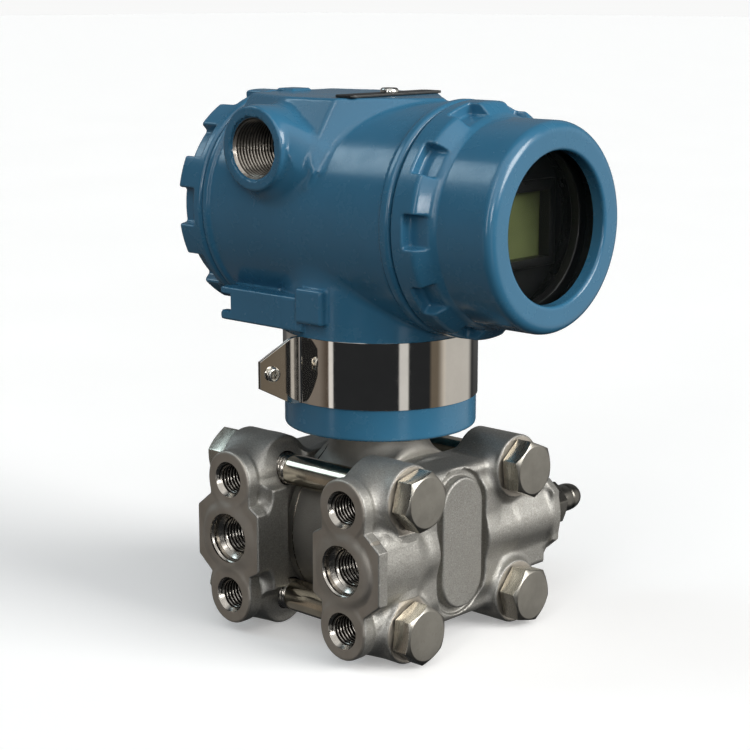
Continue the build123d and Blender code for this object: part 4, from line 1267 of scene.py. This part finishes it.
def band():
    """One strip of polished sheet round the neck, its ends bent out as ears."""
    R, t, off, rho = 33.57, 0.5, 0.5, 1.3
    a0 = EAR
    rc = math.sqrt((R + rho) ** 2 - (off + rho) ** 2)
    pts = []                                     # (radial, tangential) from the ear direction
    tip = 50.0
    for q in np.linspace(tip, rc, 10):
        pts.append((q, off))
    ang = math.atan2(off + rho, rc)              # where the bend meets the circle
    n = 7
    for i in range(1, n + 1):
        # arc about (rc, off + rho) from pointing down to pointing at the axis
        th = -math.pi / 2 - (math.pi / 2 - ang) * i / n
        pts.append((rc + rho * math.cos(th), off + rho + rho * math.sin(th)))
    m = 160
    for i in range(1, m):
        th = ang + (2 * math.pi - 2 * ang) * i / m
        pts.append((R * math.cos(th), R * math.sin(th)))
    k = 10 + n
    pts += [(u, -v) for u, v in reversed(pts[:k])]
    P = np.array(pts)
    T = np.gradient(P, axis=0)
    T /= np.linalg.norm(T, axis=1)[:, None]
    N = np.stack([-T[:, 1], T[:, 0]], axis=1)
    ca, sa = math.cos(a0), math.sin(a0)
    V, F = [], []
    rows = []
    for (u, v), (nu, nv) in zip(P, N):
        rad = math.hypot(u, v)
        drop = 0.0
        if rad > 37.3:
            drop = (rad - 37.3) / (tip - 37.3) * 6.6
        z0, z1 = 48.8 + drop, 71.5 - drop * 6.9 / 6.6
        e = 0.09
        ring = []
        for w, zz in ((-1, z0 + e), (-1 + 2 * e / t, z0), (1 - 2 * e / t, z0), (1, z0 + e),
                      (1, z1 - e), (1 - 2 * e / t, z1), (-1 + 2 * e / t, z1), (-1, z1 - e)):
            uu, vv = u + nu * w * t / 2 * 0.98, v + nv * w * t / 2 * 0.98
            ring.append(len(V))
            V.append((uu * ca - vv * sa, uu * sa + vv * ca, zz))
        rows.append(ring)
    for A, B in zip(rows, rows[1:]):
        for i in range(8):
            j = (i + 1) % 8
            F.append([A[i], A[j], B[j], B[i]])
    F.append(rows[0][::-1])
    F.append(rows[-1])
    o = add("nameplate_band_strip", V, F, None)
    fix(o)
    use(o, "band")
    sharp(o, 24)
    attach(o, "head")
    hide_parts("nameplate_band")
    # screw and nut through the ears
    ez = Vector((-sa, ca, 0))
    ex = Vector((ca, sa, 0))
    ey = ez.cross(ex)
    c = Vector((ca * 45.4, sa * 45.4, 60.0))
    head = pan_head("band_pan_screw", 2.58, 1.78, 2.3, 1.0)
    sh = rod_object("sh", [(-5.75, 0.0), (-5.75, 1.2), (-5.4, 1.48), (0.1, 1.48)], "z", (0, 0, 0), 40,
                    None, lambda a, th, q: np.full(len(th), q) - (0.18 * (1 - abs(2 * ((a / 0.5) % 1) - 1)) if -5.4 < a < 0 else 0))
    use(sh, "plated")
    s = weld("band_pan_screw_set", [head, sh])
    m = Matrix((ex, ey, ez)).transposed().to_4x4()
    m.translation = c + ez * 0.78
    move(s, m)
    sharp(s, 30)
    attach(s, "head")
    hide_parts("band_screw")
    nu = hexagon("band_hex_nut", 5.46, -0.02, -2.36, "z", (0, 0, 0), 12, None, True, True, 2.6, 28, 72)
    h = tool([(-3.0, 1.53), (0.5, 1.53)], "z", (0, 0, 0), 40, mat="plated")
    use(nu, "plated")
    fix(h)
    boolean(nu, [h])
    m2 = m.copy()
    m2.translation = c - ez * 0.77
    move(nu, m2)
    sharp(nu, 28)
    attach(nu, "head")
    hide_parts("band_nut")


def top_parts():
    # swing plate with rounded ends and a bevelled rim
    outline = []
    for cx, cy, t0 in ((6.5, 20.5, 0), (1.5, 20.5, 90), (1.5, -20.5, 180), (6.5, -20.5, 270)):
        for i in range(9):
            a = math.radians(t0 + 90 * i / 8)
            outline.append((cx + 2.0 * math.cos(a), cy + 2.0 * math.sin(a)))
    n = len(outline)
    V = [(x, y, 150.46) for x, y in outline] + [(x, y, 151.34) for x, y in outline]
    F = [list(range(n))[::-1], list(range(n, 2 * n))] + [[i, (i + 1) % n, n + (i + 1) % n, n + i] for i in range(n)]
    o = add("access_swing_plate", V, F, None)
    fix(o)
    use(o, "plate")
    bevel(o, 0.16, 2, 40)
    h = tool([(150.0, 2.05), (152.0, 2.05)], "z", (4.0, 0, 0), 40, mat="plate")
    fix(h)
    boolean(o, [h])
    sharp(o, 30)
    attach(o, "plate")
    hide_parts("access_plate")
    head = pan_head("plate_pan_screw", 3.18, 1.58, 3.2, 0.85)
    m = Matrix.Translation(Vector((4.0, 0.0, 151.41)))
    move(head, m)
    sh = rod_object("sh", [(146.4, 0.0), (146.4, 1.3), (146.7, 1.46), (150.4, 1.46), (150.43, 1.98), (151.6, 1.98)], "z", (4.0, 0, 0), 40)
    use(sh, "plated")
    s = weld("plate_pan_screw_set", [head, sh])
    sharp(s, 30)
    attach(s, "head")
    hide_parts("plate_screw")
    for y, tag, body in ((-18.0, "zero", "zero"), (18.0, "span", "span")):
        o = rod_object(tag + "_adjuster", [(134.0, 0.0), (134.0, 1.7), (134.3, 1.97), (148.6, 1.97), (148.72, 3.0), (148.85, 3.18), (149.9, 3.18), (150.13, 2.95)],
                       "z", (4.0, y, 0), 64)
        use(o, "brass")
        c = add("slot", *cube((0.2, y - 0.4, 149.4), (7.8, y + 0.4, 151.0)), None)
        use(c, "brass")
        fix(c)
        boolean(o, [c])
        sharp(o, 28)
        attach(o, body)
        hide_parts(tag + "_screw")


def cube(lo, hi):
    x0, y0, z0 = lo
    x1, y1, z1 = hi
    V = [(x, y, z) for x in (x0, x1) for y in (y0, y1) for z in (z0, z1)]
    F = [[0, 1, 3, 2], [4, 6, 7, 5], [0, 4, 5, 1], [2, 3, 7, 6], [0, 2, 6, 4], [1, 5, 7, 3]]
    return V, F


def window_parts():
    H = AXIS_Z
    lathe("window_pane", [(65.0, 28.9), (65.3, 29.28), (70.6, 29.28), (70.88, 29.0)], "x", (0, 0, H), "window_cover",
          "window_glass", ["glass"], 128)
    r = turned("window_retainer_ring", [(61.5, 25.9), (61.5, 29.1), (61.75, 29.35), (64.7, 29.35), (64.98, 29.1), (64.98, 25.9), (64.7, 25.6), (61.8, 25.6)],
               "x", (0, 0, H), 128)
    use(r, "black")
    cuts = []
    for a in (0, 90, 180, 270):
        a = math.radians(a + 20)
        y, z = 27.4 * math.cos(a), 27.4 * math.sin(a)
        c = tool([(60.0, 0.9), (62.6, 0.9)], "x", (0, y, z + H), 24, mat="black")
        fix(c)
        cuts.append(c)
    boolean(r, cuts)
    sharp(r, 28)
    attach(r, "window_cover")
    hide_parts("window_retainer")
    # display: glass block with a soft edge, in a raised frame on a round bezel
    o = add("display_pane", *cube((49.0, -21.5, H - 13.4), (53.0, 21.5, H + 11.0)), None)
    fix(o)
    use(o, "lcd")
    bevel(o, 0.25, 3, 40)
    sharp(o, 30)
    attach(o, "head")
    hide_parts("lcd_panel")
    b = rod_object("display_round_bezel", [(49.0, 28.2), (49.3, 28.55), (55.4, 28.55), (55.9, 28.1)], "x", (0, 0, H), 128)
    use(b, "black")
    k = tool([(48.4, 26.6), (53.8, 26.6)], "x", (0, 0, H), 128, mat="black")
    fix(k)
    boolean(b, [k])
    fr = add("fr", *cube((53.2, -23.0, H - 15.4), (57.4, 23.0, H + 13.4)), None)
    fix(fr)
    use(fr, "black")
    bevel(fr, 0.7, 3, 40)
    boolean(b, [fr], "UNION")
    wn = add("wn", *cube((47.4, -19.5, H - 12.4), (60.4, 19.5, H + 9.6)), None)
    fix(wn)
    use(wn, "black")
    boolean(b, [wn])
    cuts = []
    for i in range(3):
        a = math.radians(90 + 120 * i)
        y, z = 25.4 * math.cos(a), 25.4 * math.sin(a)
        c = tool([(55.1, 1.7), (56.4, 1.7)], "x", (0, y, z + H), 32, mat="black")
        fix(c)
        cuts.append(c)
    boolean(b, cuts)
    bevel(b, 0.18, 2, 50)
    sharp(b, 30)
    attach(b, "head")
    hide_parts("display_bezel")


FINISH = {
    "isolating_diaphragms": "foil", "capacitor_capsule": "blasted", "cell_header": "moulding",
    "process_seals": "rubber", "neck_seal": "rubber", "neck_retainer": "plated",
    "vent_ring_high": "rubber", "vent_ring_low": "rubber", "amplifier_board": "board",
    "board_standoffs": "brass", "display_board": "board", "terminal_block": "moulding",
    "terminal_screws": "brass", "ground_screw": "plated", "window_gasket": "rubber",
    "front_cover_seal": "rubber", "rear_cover_seal": "rubber",
}


def carried_over():
    for name, key in FINISH.items():
        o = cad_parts[name]
        for s in o.material_slots:
            s.material = M[key]


# --------------------------------------------------------- floor, light, view
def mm(x, y, z):
    """Final-frame millimetres to metres."""
    return Vector((x / 1000, y / 1000, z / 1000))


FLOOR_GLOW = 0.24


def floor():
    me = bpy.data.meshes.new("studio_floor")
    s = 14.0
    n = 8
    V = [(-s + 2 * s * i / n, -s + 2 * s * j / n, 0.0) for i in range(n + 1) for j in range(n + 1)]
    F = [[i * (n + 1) + j, (i + 1) * (n + 1) + j, (i + 1) * (n + 1) + j + 1, i * (n + 1) + j + 1] for i in range(n) for j in range(n)]
    me.from_pydata(V, [], F)
    o = bpy.data.objects.new("studio_floor", me)
    bpy.context.scene.collection.objects.link(o)
    m = Mat("pale_floor", (0.86, 0.86, 0.855, 1), 0.0, 0.75, Emission_Color=(1.0, 1.0, 0.995, 1.0), Emission_Strength=FLOOR_GLOW)
    m.colour(m.blend(m.ramp(m.noise(6, 3), 0.3, 0.7), (0.845, 0.845, 0.84, 1), (0.875, 0.875, 0.87, 1)))
    me.materials.append(m.m)
    o.visible_diffuse = False
    o.visible_glossy = False
    o.visible_transmission = False


def light():
    """Soft studio light painted on the sky: every patch is given by its
    bearing from +X, its height, its half widths and soft edge in degrees."""
    w = bpy.data.worlds.new("studio")
    bpy.context.scene.world = w
    w.use_nodes = True
    t = w.node_tree
    t.nodes.clear()

    def node(kind, **kw):
        n = t.nodes.new(kind)
        for k, v in kw.items():
            setattr(n, k, v)
        return n

    def calc(op, a, b=None, c=None):
        n = node("ShaderNodeMath", operation=op)
        for i, v in enumerate((a, b, c)):
            if v is None:
                continue
            if isinstance(v, (int, float)):
                n.inputs[i].default_value = v
            else:
                t.links.new(v, n.inputs[i])
        return n.outputs[0]

    co = node("ShaderNodeTexCoord")
    sep = node("ShaderNodeSeparateXYZ")
    t.links.new(co.outputs["Generated"], sep.inputs[0])
    x, y, z = sep.outputs
    el = calc("ARCSINE", z)

    def step(v, half, soft):
        n = node("ShaderNodeMapRange", interpolation_type="SMOOTHSTEP")
        n.inputs["From Min"].default_value = math.radians(half + soft)
        n.inputs["From Max"].default_value = math.radians(half)
        t.links.new(calc("ABSOLUTE", v), n.inputs["Value"])
        return n.outputs[0]

    def patch(az, e, haz, hel, soft, level, colour=(1, 1, 1)):
        a = math.radians(az)
        u = calc("ADD", calc("MULTIPLY", x, math.cos(a)), calc("MULTIPLY", y, math.sin(a)))
        v = calc("SUBTRACT", calc("MULTIPLY", y, math.cos(a)), calc("MULTIPLY", x, math.sin(a)))
        k = calc("MULTIPLY", step(calc("ARCTAN2", v, u), haz, soft), step(calc("SUBTRACT", el, math.radians(e)), hel, soft))
        return k, level, colour

    def disc(d, half, soft, level, colour=(1, 1, 1)):
        d = Vector(d).normalized()
        dot = calc("ADD", calc("ADD", calc("MULTIPLY", x, d.x), calc("MULTIPLY", y, d.y)), calc("MULTIPLY", z, d.z))
        return step(calc("ARCCOSINE", calc("MINIMUM", dot, 0.99999)), half, soft), level, colour

    out = None
    for k, level, colour in SKY(patch, disc):
        s = node("ShaderNodeVectorMath", operation="SCALE")
        s.inputs[0].default_value = tuple(c * level for c in colour)
        t.links.new(k, s.inputs["Scale"])
        if out is None:
            out = s.outputs[0]
        else:
            n = node("ShaderNodeVectorMath", operation="ADD")
            t.links.new(out, n.inputs[0])
            t.links.new(s.outputs[0], n.inputs[1])
            out = n.outputs[0]
    n = node("ShaderNodeVectorMath", operation="ADD")
    t.links.new(out, n.inputs[0])
    n.inputs[1].default_value = AMBIENT
    bg = node("ShaderNodeBackground")
    t.links.new(n.outputs[0], bg.inputs["Color"])
    see = node("ShaderNodeBackground")
    see.inputs["Color"].default_value = (0.945, 0.947, 0.942, 1)
    lp = node("ShaderNodeLightPath")
    mix = node("ShaderNodeMixShader")
    o = node("ShaderNodeOutputWorld")
    t.links.new(lp.outputs["Is Camera Ray"], mix.inputs["Fac"])
    t.links.new(bg.outputs[0], mix.inputs[1])
    t.links.new(see.outputs[0], mix.inputs[2])
    t.links.new(mix.outputs[0], o.inputs["Surface"])


AMBIENT = (0.024, 0.026, 0.029)


def SKY(patch, disc):
    return [
        disc((0.50, -0.30, 0.81), 28, 14, 1.05),                              # overhead
        patch(16, 27, 14, 11, 6, 11.0, (1.0, 0.99, 0.97)),                     # key on the right
        patch(56, -4, 20, 20, 14, 0.58, (1.0, 0.98, 0.94)),                    # behind, on the right
        patch(-112, 56, 18, 10, 14, 0.62, (0.97, 0.99, 1.0)),                  # high on the left
        patch(-152, 38, 8, 8, 4, 4.0, (0.72, 0.90, 1.0)),
        patch(-74, 25, 2.5, 25, 3, 4.0),                                       # strip, left front
        patch(-38, 13, 4, 5, 2, 11.0),                                         # small lamp beside the view
        patch(24, -14, 8, 8, 5, 0.14, (1.0, 0.80, 0.56)),
        patch(-124, -12, 15, 12, 6, 0.07, (1.0, 0.68, 0.42)),                  # warm wall, left
        patch(-155, -22, 30, 34, 14, 0.13, (1.0, 0.94, 0.87)),                 # left, low
        patch(-107, -12, 2.0, 12, 2, 0.8),                                     # low strips
        patch(-20, -12, 4.0, 12, 3, 0.7),
        patch(140, 18, 40, 20, 16, 0.14),                                      # behind
    ]


def camera():
    d = bpy.data.cameras.new("camera")
    d.lens = 86.45
    d.sensor_width = 36.0
    d.sensor_fit = "HORIZONTAL"
    d.clip_end = 100.0
    o = bpy.data.objects.new("camera", d)
    bpy.context.scene.collection.objects.link(o)
    at, to = mm(408.48, -464.61, 218.20), mm(-10.23, -14.35, 87.51)
    o.location = at
    o.rotation_euler = (to - at).to_track_quat("-Z", "Y").to_euler()
    bpy.context.scene.camera = o


flange("high_flange_casting", 1, "high_flange")
flange("low_flange_casting", -1, "low_flange")
sensor()
housing()
front()
rear()
bolts()
nuts()
vents()
band()
top_parts()
window_parts()
carried_over()
floor()
light()
camera()
bpy.context.scene.view_settings.view_transform = "Standard"
